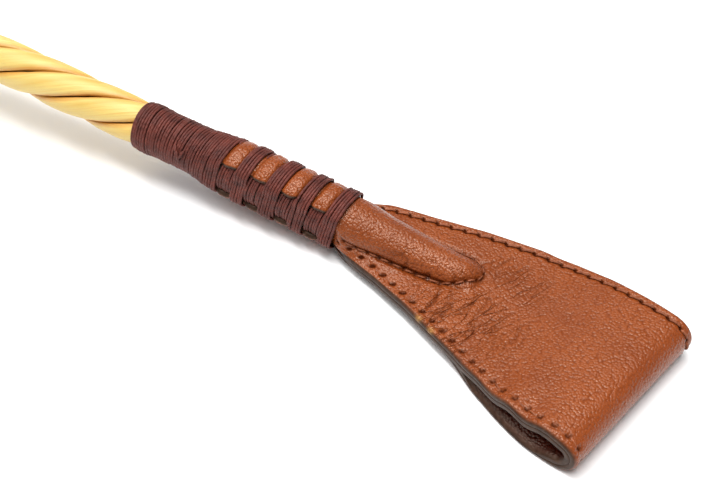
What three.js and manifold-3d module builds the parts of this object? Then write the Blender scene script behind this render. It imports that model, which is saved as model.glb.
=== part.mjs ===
// Riding crop: twisted strand shaft, folded leather keeper at the tip,
// leather grip and wrist loop at the butt.
// Millimetres, +X along the shaft toward the keeper, +Z up, floor at z = 0.
import * as THREE from 'three';
import { mergeVertices } from 'three/addons/utils/BufferGeometryUtils.js';
import Module from 'manifold-3d';

const wasm = await Module();
wasm.setup();

// ---- driving dimensions ----
// Distances called "back" are measured along the shaft from the end of the core toward the butt.
const CORE_END_HEIGHT = 4.4;
const CORE_END_SLOPE = THREE.MathUtils.degToRad(7.6);
const BOW_RADIUS = 2423;
const BOW_STEP = 40;

const BINDING_BACK = 29;
const BAND_COUNT = 4;
const BAND_LENGTH = 4.1;
const WINDOW_LENGTH = 3.4;
const MAIN_WHIPPING_LENGTH = 24;
const THREAD_THICKNESS = 0.65;
const TONGUE_THICKNESS = 1.35;
const TOP_TONGUE_HALF_ANGLE = THREE.MathUtils.degToRad(43);
const BOTTOM_TONGUE_HALF_ANGLE = THREE.MathUtils.degToRad(58);

const STRAND_COUNT = 4;
const STRAND_PITCH = 64;
const STRAND_PHASE = THREE.MathUtils.degToRad(18);
const STRAND_STEPS = 62;
const STRAND_GAP_ANGLE = 0.06;
const STRAND_FRONT_BACK = 2;
const STRAND_REAR_BACK = 404;
const SHAFT_TIP_RADIUS = 5.15;
const SHAFT_GRIP_RADIUS = 6.5;
const ROD_TIP_RADIUS = 0.7;
const ROD_RADIUS = 2;
const ROD_GRIP_RADIUS = 2.6;
const ROD_REAR_BACK = 569;

const COLLAR_BACK = 398;
const COLLAR_LENGTH = 10;
const GRIP_BACK = 408.5;
const GRIP_REAR_BACK = 561.5;
const GRIP_CORE_RADIUS = 9.35;
const GRIP_GAP = 0.15;
const GRIP_LEATHER_THICKNESS = 1.5;
const GRIP_WHIPPING_LENGTH = 7;
const CAP_REAR_BACK = 577;
const CAP_RADIUS = 13;
const RIVET_BACK = 573;
const RIVET_RADIUS = 1.2;

const LOOP_PIVOT_BACK = 578.2;
const LOOP_LENGTH = 185;
const LOOP_HALF_WIDTH = 30;
const LOOP_THICKNESS = 1.6;
const LOOP_WIDTH = 12;
const LOOP_DROOP = THREE.MathUtils.degToRad(1.85);

const KEEPER_SKEW = THREE.MathUtils.degToRad(-13.6);
const KEEPER_LENGTH = 71;
const KEEPER_SIDE_OFFSET = 4.9;
const HINGE_ALONG = 33;
const HINGE_GAP = 0.35;
const OUTER_LEATHER = 1.35;
const LINING_LEATHER = 1.25;
const LAYER_GAP = 0.1;
const LEAF_THICKNESS = OUTER_LEATHER + LINING_LEATHER + LAYER_GAP;
const OUTER_FROM = LINING_LEATHER + LAYER_GAP;
const LEAF_GAP = 0.2;
const FOLD_INNER_RADIUS = 2;
const FOLD_OPEN_START = 43;
const STITCH_INSET = 2.2;
const STITCH_RADIUS = 0.3;
const STITCH_GROOVE_RADIUS = 0.62;
const STITCH_DEPTH = LEAF_THICKNESS - 0.33;
const NEAR_ROW_START = 10.5;
const FAR_ROW_START = 6.5;
const FLOOR_HEIGHT = 0;

// Keeper outline seen from above: along the keeper, and to the side.
const NEAR_EDGE = [[1.8, -10.4], [14, -11.6], [53, -19.9], [80, -20.6]];
const FAR_EDGE = [[-1, 6.4], [2, 8.2], [22, 14.8], [36, 18.8], [50, 19.6], [80, 19.2]];

const BAND_PITCH = BAND_LENGTH + WINDOW_LENGTH;
const WHIPPING_FRONT_BACK = BINDING_BACK + BAND_COUNT * BAND_PITCH;
const WHIPPING_REAR_BACK = WHIPPING_FRONT_BACK + MAIN_WHIPPING_LENGTH;
const MID_HEIGHT = FLOOR_HEIGHT + LEAF_THICKNESS + LEAF_GAP / 2;

// ---- solids ----
function flipIfInsideOut(geometry) {
  const p = geometry.getAttribute('position');
  const index = geometry.index.array;
  let volume = 0;
  const a = new THREE.Vector3();
  const b = new THREE.Vector3();
  const c = new THREE.Vector3();
  for (let i = 0; i < index.length; i += 3) {
    a.fromBufferAttribute(p, index[i]);
    b.fromBufferAttribute(p, index[i + 1]);
    c.fromBufferAttribute(p, index[i + 2]);
    volume += a.dot(b.cross(c));
  }
  if (volume < 0) {
    for (let i = 0; i < index.length; i += 3) {
      const kept = index[i + 1];
      index[i + 1] = index[i + 2];
      index[i + 2] = kept;
    }
  }
}

function solid(geometry) {
  const bare = geometry.clone();
  bare.deleteAttribute('normal');
  bare.deleteAttribute('uv');
  const merged = mergeVertices(bare, 1e-3);
  flipIfInsideOut(merged);
  return new wasm.Manifold(new wasm.Mesh({
    numProp: 3,
    vertProperties: merged.getAttribute('position').array,
    triVerts: new Uint32Array(merged.index.array),
  }));
}

function geometryOf(body) {
  const made = body.getMesh();
  const geometry = new THREE.BufferGeometry();
  geometry.setAttribute('position', new THREE.BufferAttribute(made.vertProperties, 3));
  geometry.setIndex(new THREE.BufferAttribute(made.triVerts, 1));
  return geometry;
}

function largestBody(body) {
  return body.decompose().sort((p, q) => q.volume() - p.volume())[0];
}

// ---- frames ----
function mapVertices(geometry, map) {
  const p = geometry.getAttribute('position');
  const v = new THREE.Vector3();
  for (let i = 0; i < p.count; i += 1) {
    v.fromBufferAttribute(p, i);
    map(v);
    p.setXYZ(i, v.x, v.y, v.z);
  }
  return geometry;
}

// Carries a point of the straight shaft (x forward from the core's end) onto the bowed one.
function bowPoint(v) {
  const slope = CORE_END_SLOPE + v.x / BOW_RADIUS;
  const alongX = -BOW_RADIUS * (Math.sin(CORE_END_SLOPE) - Math.sin(slope));
  const axisZ = CORE_END_HEIGHT + BOW_RADIUS * (Math.cos(slope) - Math.cos(CORE_END_SLOPE));
  return v.set(alongX + v.z * Math.sin(slope), v.y, axisZ + v.z * Math.cos(slope));
}

function bowed(geometry) {
  return mapVertices(geometry, bowPoint);
}

// The keeper's own frame lies flat, starts at the binding and is turned to one side of the shaft.
function keeperPoint(v) {
  const start = bowPoint(new THREE.Vector3(-BINDING_BACK, 0, 0));
  const side = v.y + KEEPER_SIDE_OFFSET;
  const x = v.x * Math.cos(KEEPER_SKEW) - side * Math.sin(KEEPER_SKEW);
  const y = v.x * Math.sin(KEEPER_SKEW) + side * Math.cos(KEEPER_SKEW);
  return v.set(start.x + x, y, v.z);
}

function keeperPlaced(geometry) {
  return mapVertices(geometry, keeperPoint);
}

function stations(from, to, step) {
  const count = Math.max(1, Math.round((to - from) / step));
  return Array.from({ length: count + 1 }, (_, i) => from + (to - from) * i / count);
}

// Turned body about the shaft: profile points are [back, radius]. Long runs are divided so that they bow.
function turned(profile, sides) {
  const points = [];
  profile.forEach(([back, radius], i) => {
    if (i > 0) {
      const [lastBack, lastRadius] = profile[i - 1];
      const count = Math.max(1, Math.ceil(Math.abs(back - lastBack) / BOW_STEP));
      for (let j = 1; j < count; j += 1) {
        const t = j / count;
        points.push(new THREE.Vector2(lastRadius + (radius - lastRadius) * t,
          lastBack + (back - lastBack) * t));
      }
    }
    points.push(new THREE.Vector2(radius, back));
  });
  const geometry = new THREE.LatheGeometry(points, sides);
  geometry.rotateZ(Math.PI / 2);
  return solid(bowed(geometry));
}

function ring(fromBack, toBack, inner, outer, sides) {
  return turned([[fromBack, inner], [fromBack, outer], [toBack, outer], [toBack, inner], [fromBack, inner]],
    sides);
}

// ---- strands ----
function shaftRadius(back) {
  const keeperFront = 1.5;
  const keeperRear = 3.3;
  const keeperRearBack = 24;
  if (back < keeperRearBack) {
    return keeperFront + (keeperRear - keeperFront) * back / keeperRearBack;
  }
  if (back < BINDING_BACK + 2) {
    const t = (back - keeperRearBack) / (BINDING_BACK + 2 - keeperRearBack);
    return keeperRear + (SHAFT_TIP_RADIUS - keeperRear) * t;
  }
  if (back < WHIPPING_REAR_BACK) {
    return SHAFT_TIP_RADIUS;
  }
  const t = (back - WHIPPING_REAR_BACK) / (COLLAR_BACK - WHIPPING_REAR_BACK);
  return SHAFT_TIP_RADIUS + (SHAFT_GRIP_RADIUS - SHAFT_TIP_RADIUS) * Math.min(1, t);
}

function rodRadius(back) {
  if (back < BINDING_BACK) {
    return ROD_TIP_RADIUS + (ROD_RADIUS - ROD_TIP_RADIUS) * back / BINDING_BACK;
  }
  return ROD_RADIUS + (ROD_GRIP_RADIUS - ROD_RADIUS) * Math.min(1, (back - BINDING_BACK) / COLLAR_BACK);
}

function strand(number) {
  const half = Math.PI / STRAND_COUNT - STRAND_GAP_ANGLE / 2;
  const shoulder = 0.72;
  const crown = 0.45;
  const section = new THREE.Shape([
    new THREE.Vector2(-half, 0),
    new THREE.Vector2(-half / 3, 0),
    new THREE.Vector2(half / 3, 0),
    new THREE.Vector2(half, 0),
    new THREE.Vector2(half, shoulder),
    new THREE.Vector2(half * crown, 1),
    new THREE.Vector2(-half * crown, 1),
    new THREE.Vector2(-half, shoulder),
  ]);
  const length = STRAND_REAR_BACK - STRAND_FRONT_BACK;
  const geometry = new THREE.ExtrudeGeometry(section, {
    depth: length, steps: STRAND_STEPS, bevelEnabled: false,
  });
  const rodClearance = 0.25;
  mapVertices(geometry, (v) => {
    const back = STRAND_FRONT_BACK + v.z;
    const turns = number / STRAND_COUNT - back / STRAND_PITCH;
    const angle = v.x - STRAND_PHASE - 2 * Math.PI * turns;
    const inner = rodRadius(back) + rodClearance;
    const radius = inner + (shaftRadius(back) - inner) * v.y;
    v.set(-back, -radius * Math.sin(angle), radius * Math.cos(angle));
  });
  return solid(bowed(geometry));
}

function spineRod() {
  return turned([
    [1, 0],
    [1, ROD_TIP_RADIUS],
    [BINDING_BACK, ROD_RADIUS],
    [COLLAR_BACK, ROD_GRIP_RADIUS],
    [ROD_REAR_BACK, ROD_GRIP_RADIUS],
    [ROD_REAR_BACK, 0],
  ], 12);
}

// ---- tip whipping ----
const THREAD_INNER = SHAFT_TIP_RADIUS + 0.1;
const TURN_CLEARANCE = 0.35;
const RING_SIDES = 24;

function mainWhipping() {
  return ring(WHIPPING_FRONT_BACK + 0.3, WHIPPING_REAR_BACK,
    THREAD_INNER, THREAD_INNER + THREAD_THICKNESS, RING_SIDES);
}

function whippingBand(number) {
  const front = BINDING_BACK + number * BAND_PITCH;
  const inner = THREAD_INNER + TONGUE_THICKNESS + 0.1;
  return ring(front + TURN_CLEARANCE, front + BAND_LENGTH - TURN_CLEARANCE,
    inner, inner + THREAD_THICKNESS, RING_SIDES);
}

function whippingUnder(number) {
  const front = BINDING_BACK + number * BAND_PITCH + BAND_LENGTH;
  return ring(front + TURN_CLEARANCE, front + WINDOW_LENGTH - TURN_CLEARANCE,
    THREAD_INNER, THREAD_INNER + THREAD_THICKNESS - 0.1, RING_SIDES);
}

// A strip of leather that passes under each band and over the thread between the bands.
function tongue(halfAngle, upward) {
  const step = 0.22;
  const lift = THREAD_THICKNESS;
  const low = [[BINDING_BACK - 1.2, 0]];
  for (let i = 0; i < BAND_COUNT; i += 1) {
    const rise = BINDING_BACK + i * BAND_PITCH + BAND_LENGTH;
    const fall = rise + WINDOW_LENGTH;
    low.push([rise - step, 0]);
    low.push([rise + step, lift]);
    low.push([fall - step, lift]);
    if (i < BAND_COUNT - 1) {
      low.push([fall + step, 0]);
    }
  }
  const inner = low.map(([back, raise]) => [back, THREAD_INNER + raise]);
  const outer = low.map(([back, raise]) => [back, THREAD_INNER + TONGUE_THICKNESS + raise]).reverse();
  const sleeve = turned([...inner, ...outer, inner[0]], 22);
  const reach = 14;
  const wedge = new THREE.Shape([
    new THREE.Vector2(0, 0),
    new THREE.Vector2(-reach * Math.sin(halfAngle), reach * Math.cos(halfAngle)),
    new THREE.Vector2(0, reach * 1.6),
    new THREE.Vector2(reach * Math.sin(halfAngle), reach * Math.cos(halfAngle)),
  ]);
  const length = 44;
  const block = new THREE.ExtrudeGeometry(wedge, { depth: length, steps: 2, bevelEnabled: false });
  mapVertices(block, (v) => v.set(-(BINDING_BACK - 6) - v.z, v.x, upward * v.y));
  return sleeve.intersect(solid(bowed(block)));
}

// ---- keeper ----
function keeperOutline() {
  const points = [...NEAR_EDGE, ...[...FAR_EDGE].reverse()];
  const shape = new THREE.Shape(points.map(([x, y]) => new THREE.Vector2(x, y)));
  const geometry = new THREE.ExtrudeGeometry(shape, { depth: 40, bevelEnabled: false });
  geometry.translate(0, 0, -10);
  return solid(keeperPlaced(geometry));
}

// Inside surface of the folded strip as (along, height), from the bottom leaf round to the top.
function insidePath() {
  const foldCentre = KEEPER_LENGTH - FOLD_INNER_RADIUS - LEAF_THICKNESS;
  const foldHeight = MID_HEIGHT - LEAF_GAP / 2 + FOLD_INNER_RADIUS;
  const path = [];
  const bottom = [-3, 14, HINGE_ALONG, FOLD_OPEN_START, 54, foldCentre - 1];
  bottom.forEach((along) => path.push(new THREE.Vector2(along, MID_HEIGHT - LEAF_GAP / 2)));
  for (let i = 0; i <= 8; i += 1) {
    const angle = -Math.PI / 2 + Math.PI * (i / 8);
    path.push(new THREE.Vector2(foldCentre + FOLD_INNER_RADIUS * Math.cos(angle),
      foldHeight + FOLD_INNER_RADIUS * Math.sin(angle)));
  }
  const topStart = foldCentre - 2.5;
  const topHeight = foldHeight + FOLD_INNER_RADIUS - 0.25;
  const closedHeight = MID_HEIGHT + LEAF_GAP / 2;
  for (let i = 0; i <= 6; i += 1) {
    const t = i / 6;
    const along = topStart + (FOLD_OPEN_START - topStart) * t;
    const ease = (1 + Math.cos(Math.PI * t)) / 2;
    path.push(new THREE.Vector2(along, closedHeight + (topHeight - closedHeight) * ease));
  }
  const top = [HINGE_ALONG, 14, -3];
  top.forEach((along) => path.push(new THREE.Vector2(along, MID_HEIGHT + LEAF_GAP / 2)));
  return path;
}

function offsetPath(path, distance) {
  return path.map((point, i) => {
    const before = path[Math.max(0, i - 1)];
    const after = path[Math.min(path.length - 1, i + 1)];
    const direction = after.clone().sub(before).normalize();
    return new THREE.Vector2(point.x + direction.y * distance, point.y - direction.x * distance);
  });
}

// Strip of leather that follows the fold, between two distances outside the inside surface.
function ribbon(from, to) {
  const path = insidePath();
  const shape = new THREE.Shape([...offsetPath(path, to), ...offsetPath(path, from).reverse()]);
  const width = 60;
  const geometry = new THREE.ExtrudeGeometry(shape, { depth: width, bevelEnabled: false });
  mapVertices(geometry, (v) => v.set(v.x, width / 2 - v.z, v.y));
  return solid(keeperPlaced(geometry));
}

function hingeCylinder(radius) {
  const geometry = new THREE.CylinderGeometry(radius, radius, 60, 20);
  geometry.translate(HINGE_ALONG, 0, 0);
  mapVertices(geometry, (v) => v.set(v.x, v.y, v.z + MID_HEIGHT));
  return solid(keeperPlaced(geometry));
}

function keeperBlock(fromAlong, toAlong, fromHeight, toHeight) {
  const geometry = new THREE.BoxGeometry(toAlong - fromAlong, 70, toHeight - fromHeight);
  geometry.translate((toAlong + fromAlong) / 2, 0, (toHeight + fromHeight) / 2);
  return solid(keeperPlaced(geometry));
}

const HINGE_RADIUS = LEAF_THICKNESS + LEAF_GAP / 2;

function flapSide() {
  return keeperBlock(HINGE_ALONG, 90, -5, 30).add(hingeCylinder(HINGE_RADIUS));
}

function rootSide() {
  return keeperBlock(-20, HINGE_ALONG, -5, 40).subtract(hingeCylinder(HINGE_RADIUS + HINGE_GAP));
}

// Everything above the plane between the leaves, or everything below it.
function leafSide(upper) {
  return upper
    ? keeperBlock(-12, 60, MID_HEIGHT + LEAF_GAP / 2, 40)
    : keeperBlock(-12, 60, -10, MID_HEIGHT - LEAF_GAP / 2);
}

const LINING_REAR_BACK = 24;
const BULGE_LINING = 1.1;
const BULGE_OUTER = 1.2;
const STRAND_CLEARANCE = 0.2;

// Cone round the core's end, grown by a distance from the strands.
function coreCone(grow, rearBack) {
  const profile = [
    [-1 - grow, 0],
    [-0.6 - grow, shaftRadius(0) * 0.5 + grow * 0.4],
    [1, shaftRadius(1) + grow],
    [LINING_REAR_BACK, shaftRadius(LINING_REAR_BACK) + grow],
  ];
  if (rearBack > LINING_REAR_BACK) {
    profile.push([rearBack, THREAD_INNER]);
  }
  profile.push([rearBack, 0]);
  return turned(profile, 18);
}

// Hollow in the outer leather: over the lining near the core's end,
// then down onto the strands at the binding.
function outerHollow() {
  const liningGrow = STRAND_CLEARANCE + BULGE_LINING + LAYER_GAP;
  return turned([
    [-1 - liningGrow, 0],
    [-0.6 - liningGrow, 1.4],
    [1, shaftRadius(1) + liningGrow],
    [LINING_REAR_BACK, shaftRadius(LINING_REAR_BACK) + liningGrow],
    [BINDING_BACK - 1, THREAD_INNER],
    [BINDING_BACK + 6, THREAD_INNER],
    [BINDING_BACK + 6, 0],
  ], 18);
}

function outerBulge() {
  const grow = STRAND_CLEARANCE + BULGE_LINING + LAYER_GAP + BULGE_OUTER;
  return turned([
    [-1 - grow, 0],
    [-0.4 - grow, 2.2],
    [1, shaftRadius(1) + grow],
    [LINING_REAR_BACK, shaftRadius(LINING_REAR_BACK) + grow],
    [BINDING_BACK - 0.3, THREAD_INNER + TONGUE_THICKNESS],
    [BINDING_BACK - 0.3, 0],
  ], 20);
}

function keeperOuterRoot(upper) {
  const liningZone = ribbon(-LEAF_GAP, OUTER_FROM);
  const body = ribbon(OUTER_FROM, LEAF_THICKNESS).intersect(keeperOutline())
    .add(outerBulge())
    .subtract(liningZone)
    .intersect(leafSide(upper))
    .intersect(rootSide())
    .subtract(outerHollow());
  const halfAngle = upper ? TOP_TONGUE_HALF_ANGLE : BOTTOM_TONGUE_HALF_ANGLE;
  return largestBody(body.add(tongue(halfAngle, upper ? 1 : -1)));
}

function keeperLiningRoot(upper) {
  const liningRear = 5;
  const body = ribbon(0, LINING_LEATHER).intersect(keeperOutline())
    .add(coreCone(STRAND_CLEARANCE + BULGE_LINING, LINING_REAR_BACK))
    .intersect(leafSide(upper))
    .intersect(rootSide())
    .intersect(keeperBlock(liningRear, 60, -5, 40))
    .subtract(coreCone(STRAND_CLEARANCE, LINING_REAR_BACK + 20));
  return largestBody(body);
}

function keeperFlap(from, to) {
  return ribbon(from, to).intersect(keeperOutline()).intersect(flapSide());
}

// ---- stitching ----
function edgeAt(edge, along) {
  const i = Math.max(1, edge.findIndex(([x]) => x >= along));
  const [fromX, fromY] = edge[i - 1];
  const [toX, toY] = edge[i];
  return fromY + (toY - fromY) * (along - fromX) / (toX - fromX);
}

function rowSide(along, side) {
  return edgeAt(side < 0 ? NEAR_EDGE : FAR_EDGE, along) - side * STITCH_INSET;
}

function cord(points, radius, sides) {
  const curve = new THREE.CatmullRomCurve3(points, false, 'centripetal');
  const shape = new THREE.Shape(Array.from({ length: sides }, (_, i) => {
    const angle = 2 * Math.PI * (i / sides);
    return new THREE.Vector2(radius * Math.cos(angle), radius * Math.sin(angle));
  }));
  return solid(new THREE.ExtrudeGeometry(shape, {
    steps: points.length, extrudePath: curve, bevelEnabled: false,
  }));
}

function rowPoints(side, part) {
  const start = side < 0 ? NEAR_ROW_START : FAR_ROW_START;
  const points = offsetPath(insidePath(), STITCH_DEPTH).map((point) => (
    new THREE.Vector3(point.x, rowSide(point.x, side), point.y)));
  const middle = points.findIndex((point) => point.x > KEEPER_LENGTH - 5);
  const last = HINGE_ALONG - HINGE_RADIUS - 0.8;
  const kept = points.filter((point, i) => {
    if (part === 'flap') {
      return point.x > HINGE_ALONG + 3;
    }
    const rightLeaf = (i > middle) === (part === 'top');
    return rightLeaf && point.x < last - 0.5 && point.x > start + 0.5;
  });
  const extra = (along, top) => {
    const offset = LEAF_GAP / 2 + STITCH_DEPTH;
    return new THREE.Vector3(along, rowSide(along, side), MID_HEIGHT + (top ? offset : -offset));
  };
  if (part === 'flap') {
    return [extra(HINGE_ALONG + 2, false), ...kept, extra(HINGE_ALONG + 2, true)];
  }
  return part === 'top'
    ? [extra(last, true), ...kept, extra(start, true)]
    : [extra(start, false), ...kept, extra(last, false)];
}

function rowCord(side, part, radius) {
  const points = rowPoints(side, part).map((point) => keeperPoint(point));
  return cord(points, radius, 5);
}

// U-shaped seam that holds the core between the leaves.
function corePoints() {
  const points = [];
  const depth = LEAF_GAP / 2 + STITCH_DEPTH;
  const reach = 26;
  const rearHalf = 5.3;
  const frontHalf = 4.4;
  const put = (back, side) => {
    const v = bowPoint(new THREE.Vector3(-back, side, 0));
    points.push(new THREE.Vector3(v.x, side, MID_HEIGHT + depth));
  };
  const halfAt = (back) => frontHalf + (rearHalf - frontHalf) * back / reach;
  stations(reach - 6, 1, 6).forEach((back) => put(back, -halfAt(back)));
  put(-2.2, -3.4);
  put(-3.6, 0);
  put(-2.2, 3.4);
  stations(1, reach - 4, 6).forEach((back) => put(back, halfAt(back)));
  return points;
}

// ---- grip, cap and loop ----
function gripCore() {
  return ring(GRIP_BACK + 0.5, GRIP_REAR_BACK - 0.5, ROD_GRIP_RADIUS + 0.15, GRIP_CORE_RADIUS, 24);
}

const GRIP_OUTER = GRIP_CORE_RADIUS + GRIP_GAP + GRIP_LEATHER_THICKNESS;
const SEAM_ANGLE = Math.PI / 2;
const SEAM_HALF_GAP = 0.03;

function gripLeather() {
  const section = new THREE.Shape();
  const from = SEAM_HALF_GAP;
  const to = 2 * Math.PI - SEAM_HALF_GAP;
  const count = 28;
  const at = (radius, t) => {
    const angle = from + (to - from) * t;
    return [radius * Math.cos(angle), radius * Math.sin(angle)];
  };
  section.moveTo(...at(GRIP_OUTER, 0));
  for (let i = 1; i <= count; i += 1) {
    section.lineTo(...at(GRIP_OUTER, i / count));
  }
  for (let i = count; i >= 0; i -= 1) {
    section.lineTo(...at(GRIP_CORE_RADIUS + GRIP_GAP, i / count));
  }
  const length = GRIP_REAR_BACK - GRIP_BACK;
  const geometry = new THREE.ExtrudeGeometry(section, { depth: length, steps: 5, bevelEnabled: false });
  mapVertices(geometry, (v) => v.set(-GRIP_BACK - v.z, v.x, v.y));
  return solid(bowed(geometry));
}

function gripSeamStitching() {
  const pitch = 6.2;
  const radius = GRIP_OUTER + 0.5;
  const swing = 0.17;
  const endClearance = GRIP_WHIPPING_LENGTH + 2;
  const backs = stations(GRIP_BACK + endClearance, GRIP_REAR_BACK - endClearance, pitch);
  const points = backs.map((back, i) => {
    const angle = SEAM_ANGLE + (i % 2 === 0 ? swing : -swing);
    return bowPoint(new THREE.Vector3(-back, radius * Math.sin(angle), radius * Math.cos(angle)));
  });
  return cord(points, 0.3, 4);
}

function gripWhipping(front) {
  const inner = GRIP_OUTER + 0.25;
  return ring(front, front + GRIP_WHIPPING_LENGTH, inner, inner + 0.8, 24);
}

function collar() {
  const bore = SHAFT_GRIP_RADIUS + 0.15;
  return turned([
    [COLLAR_BACK, bore],
    [COLLAR_BACK, bore + 1],
    [COLLAR_BACK + 2, bore + 2.2],
    [COLLAR_BACK + 7, GRIP_OUTER - 0.4],
    [COLLAR_BACK + 9, GRIP_OUTER + 0.3],
    [COLLAR_BACK + COLLAR_LENGTH, GRIP_OUTER + 0.1],
    [COLLAR_BACK + COLLAR_LENGTH, bore],
    [COLLAR_BACK, bore],
  ], 28);
}

const PLY_GAP = 0.3;
const SLOT_HALF = LOOP_THICKNESS + PLY_GAP;
const SLOT_FRONT_BACK = 570.6;

// Block in the straight shaft's frame, carried onto the bow.
function shaftBlock(fromBack, toBack, fromSide, toSide, halfHeight) {
  const geometry = new THREE.BoxGeometry(toBack - fromBack, toSide - fromSide, 2 * halfHeight);
  geometry.translate(-(toBack + fromBack) / 2, (toSide + fromSide) / 2, 0);
  return solid(bowed(geometry));
}

function crossPin(radius, length) {
  const geometry = new THREE.CylinderGeometry(radius, radius, length, 16);
  geometry.translate(-RIVET_BACK, 0, 0);
  return solid(bowed(geometry));
}

function buttCap() {
  const front = GRIP_REAR_BACK + 0.3;
  const body = turned([
    [front, 0],
    [front, GRIP_OUTER + 1],
    [front + 2, CAP_RADIUS - 0.3],
    [front + 6, CAP_RADIUS],
    [CAP_REAR_BACK - 4, CAP_RADIUS - 0.6],
    [CAP_REAR_BACK - 1.3, CAP_RADIUS - 2.4],
    [CAP_REAR_BACK, CAP_RADIUS - 5],
    [CAP_REAR_BACK, 0],
  ], 32);
  const bore = turned([
    [front - 2, 0],
    [front - 2, ROD_GRIP_RADIUS + 0.1],
    [ROD_REAR_BACK + 0.3, ROD_GRIP_RADIUS + 0.1],
    [ROD_REAR_BACK + 0.3, 0],
  ], 16);
  const slot = shaftBlock(SLOT_FRONT_BACK, CAP_REAR_BACK + 4, -SLOT_HALF, SLOT_HALF, LOOP_WIDTH / 2 + 0.3);
  return body.subtract(bore).subtract(slot).subtract(crossPin(RIVET_RADIUS + 0.05, 40));
}

function loopRivet() {
  return crossPin(RIVET_RADIUS, 2 * CAP_RADIUS - 1.6);
}

function loopEnd(side) {
  const inner = PLY_GAP / 2;
  const outer = inner + LOOP_THICKNESS;
  const from = side > 0 ? inner : -outer;
  const to = side > 0 ? outer : -inner;
  return shaftBlock(SLOT_FRONT_BACK + 0.4, CAP_REAR_BACK + 0.2, from, to, LOOP_WIDTH / 2)
    .subtract(crossPin(RIVET_RADIUS + 0.05, 40));
}

// Half width of the loop's middle line, by distance behind the pivot.
function loopHalf(t) {
  const opening = Math.sin(Math.PI * Math.min(1, t / 0.62) / 2) ** 1.6;
  const closing = t < 0.62 ? 1 : Math.sqrt(Math.max(0, 1 - ((t - 0.62) / 0.38) ** 2));
  return (LOOP_THICKNESS + PLY_GAP) / 2 + (LOOP_HALF_WIDTH - 1) * opening * closing;
}

function wristLoop() {
  const start = 1.9;
  const count = 22;
  const half = [];
  for (let i = 0; i <= count; i += 1) {
    const t = Math.sin(Math.PI / 2 * (i / count)) ** 1.15;
    half.push(new THREE.Vector2(start + (LOOP_LENGTH - start) * t, i === count ? 0 : loopHalf(t)));
  }
  const path = [...half, ...half.slice(0, -1).reverse().map((p) => new THREE.Vector2(p.x, -p.y))];
  const shape = new THREE.Shape([
    ...offsetPath(path, LOOP_THICKNESS / 2), ...offsetPath(path, -LOOP_THICKNESS / 2).reverse(),
  ]);
  const geometry = new THREE.ExtrudeGeometry(shape, { depth: LOOP_WIDTH, bevelEnabled: false });
  const pivot = bowPoint(new THREE.Vector3(-LOOP_PIVOT_BACK, 0, 0));
  mapVertices(geometry, (v) => {
    const height = v.z - LOOP_WIDTH / 2;
    const back = v.x;
    v.set(pivot.x - back * Math.cos(LOOP_DROOP) - height * Math.sin(LOOP_DROOP), v.y,
      pivot.z - back * Math.sin(LOOP_DROOP) + height * Math.cos(LOOP_DROOP));
  });
  return solid(geometry);
}

// ---- materials ----
function matte(color, roughness) {
  return new THREE.MeshStandardMaterial({ color, roughness, metalness: 0 });
}

const outerLeather = () => matte(0xa05a36, 0.5);
const liningLeather = () => matte(0x5a2c1a, 0.75);
const waxedThread = () => matte(0x643732, 0.6);
const seamThread = () => matte(0x6a4432, 0.7);
const strandFibre = () => matte(0xe8c878, 0.5);
const rodFibre = () => matte(0xd8d2b8, 0.4);
const gripWood = () => matte(0xc2a070, 0.8);
const metalFitting = () => (
  new THREE.MeshStandardMaterial({ color: 0xc9a65a, roughness: 0.3, metalness: 1 })
);

const group = new THREE.Group();
group.name = 'riding_crop';

function put(name, body, material) {
  const mesh = new THREE.Mesh(geometryOf(body), material());
  mesh.name = name;
  group.add(mesh);
}

put('spine_rod', spineRod(), rodFibre);
for (let i = 0; i < STRAND_COUNT; i += 1) {
  put(`shaft_strand_${i + 1}`, strand(i), strandFibre);
}
put('tip_whipping_main', mainWhipping(), waxedThread);
for (let i = 0; i < BAND_COUNT; i += 1) {
  put(`tip_whipping_band_${i + 1}`, whippingBand(i), waxedThread);
  put(`tip_whipping_under_${i + 1}`, whippingUnder(i), waxedThread);
}

const rowParts = ['top', 'bottom'];
const rowSides = { near: -1, far: 1 };
const coreSeam = corePoints();
for (const part of rowParts) {
  let root = keeperOuterRoot(part === 'top');
  for (const [label, side] of Object.entries(rowSides)) {
    put(`edge_stitching_${label}_root_${part}`, rowCord(side, part, STITCH_RADIUS), seamThread);
    root = root.subtract(rowCord(side, part, STITCH_GROOVE_RADIUS));
  }
  if (part === 'top') {
    root = root.subtract(cord(coreSeam, STITCH_GROOVE_RADIUS, 6));
  }
  put(`keeper_outer_root_${part}`, largestBody(root), outerLeather);
  put(`keeper_lining_root_${part}`, keeperLiningRoot(part === 'top'), liningLeather);
}
put('core_seam_stitching', cord(coreSeam, STITCH_RADIUS, 6), seamThread);

let flap = keeperFlap(OUTER_FROM, LEAF_THICKNESS);
for (const [label, side] of Object.entries(rowSides)) {
  put(`edge_stitching_${label}_flap`, rowCord(side, 'flap', STITCH_RADIUS), seamThread);
  flap = flap.subtract(rowCord(side, 'flap', STITCH_GROOVE_RADIUS));
}
put('keeper_outer_flap', largestBody(flap), outerLeather);
put('keeper_lining_flap', keeperFlap(0, LINING_LEATHER), liningLeather);

put('grip_collar', collar(), metalFitting);
put('grip_core', gripCore(), gripWood);
put('grip_leather', gripLeather(), outerLeather);
put('grip_seam_stitching', gripSeamStitching(), seamThread);
put('grip_whipping_front', gripWhipping(GRIP_BACK + 1), waxedThread);
put('grip_whipping_rear', gripWhipping(GRIP_REAR_BACK - 1 - GRIP_WHIPPING_LENGTH), waxedThread);
put('butt_cap', buttCap(), metalFitting);
put('loop_rivet', loopRivet(), metalFitting);
put('loop_end_near', loopEnd(-1), outerLeather);
put('loop_end_far', loopEnd(1), outerLeather);
put('wrist_loop', wristLoop(), outerLeather);

const box = new THREE.Box3().setFromObject(group);
group.position.set(-(box.min.x + box.max.x) / 2, -(box.min.y + box.max.y) / 2, -box.min.z);

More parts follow.
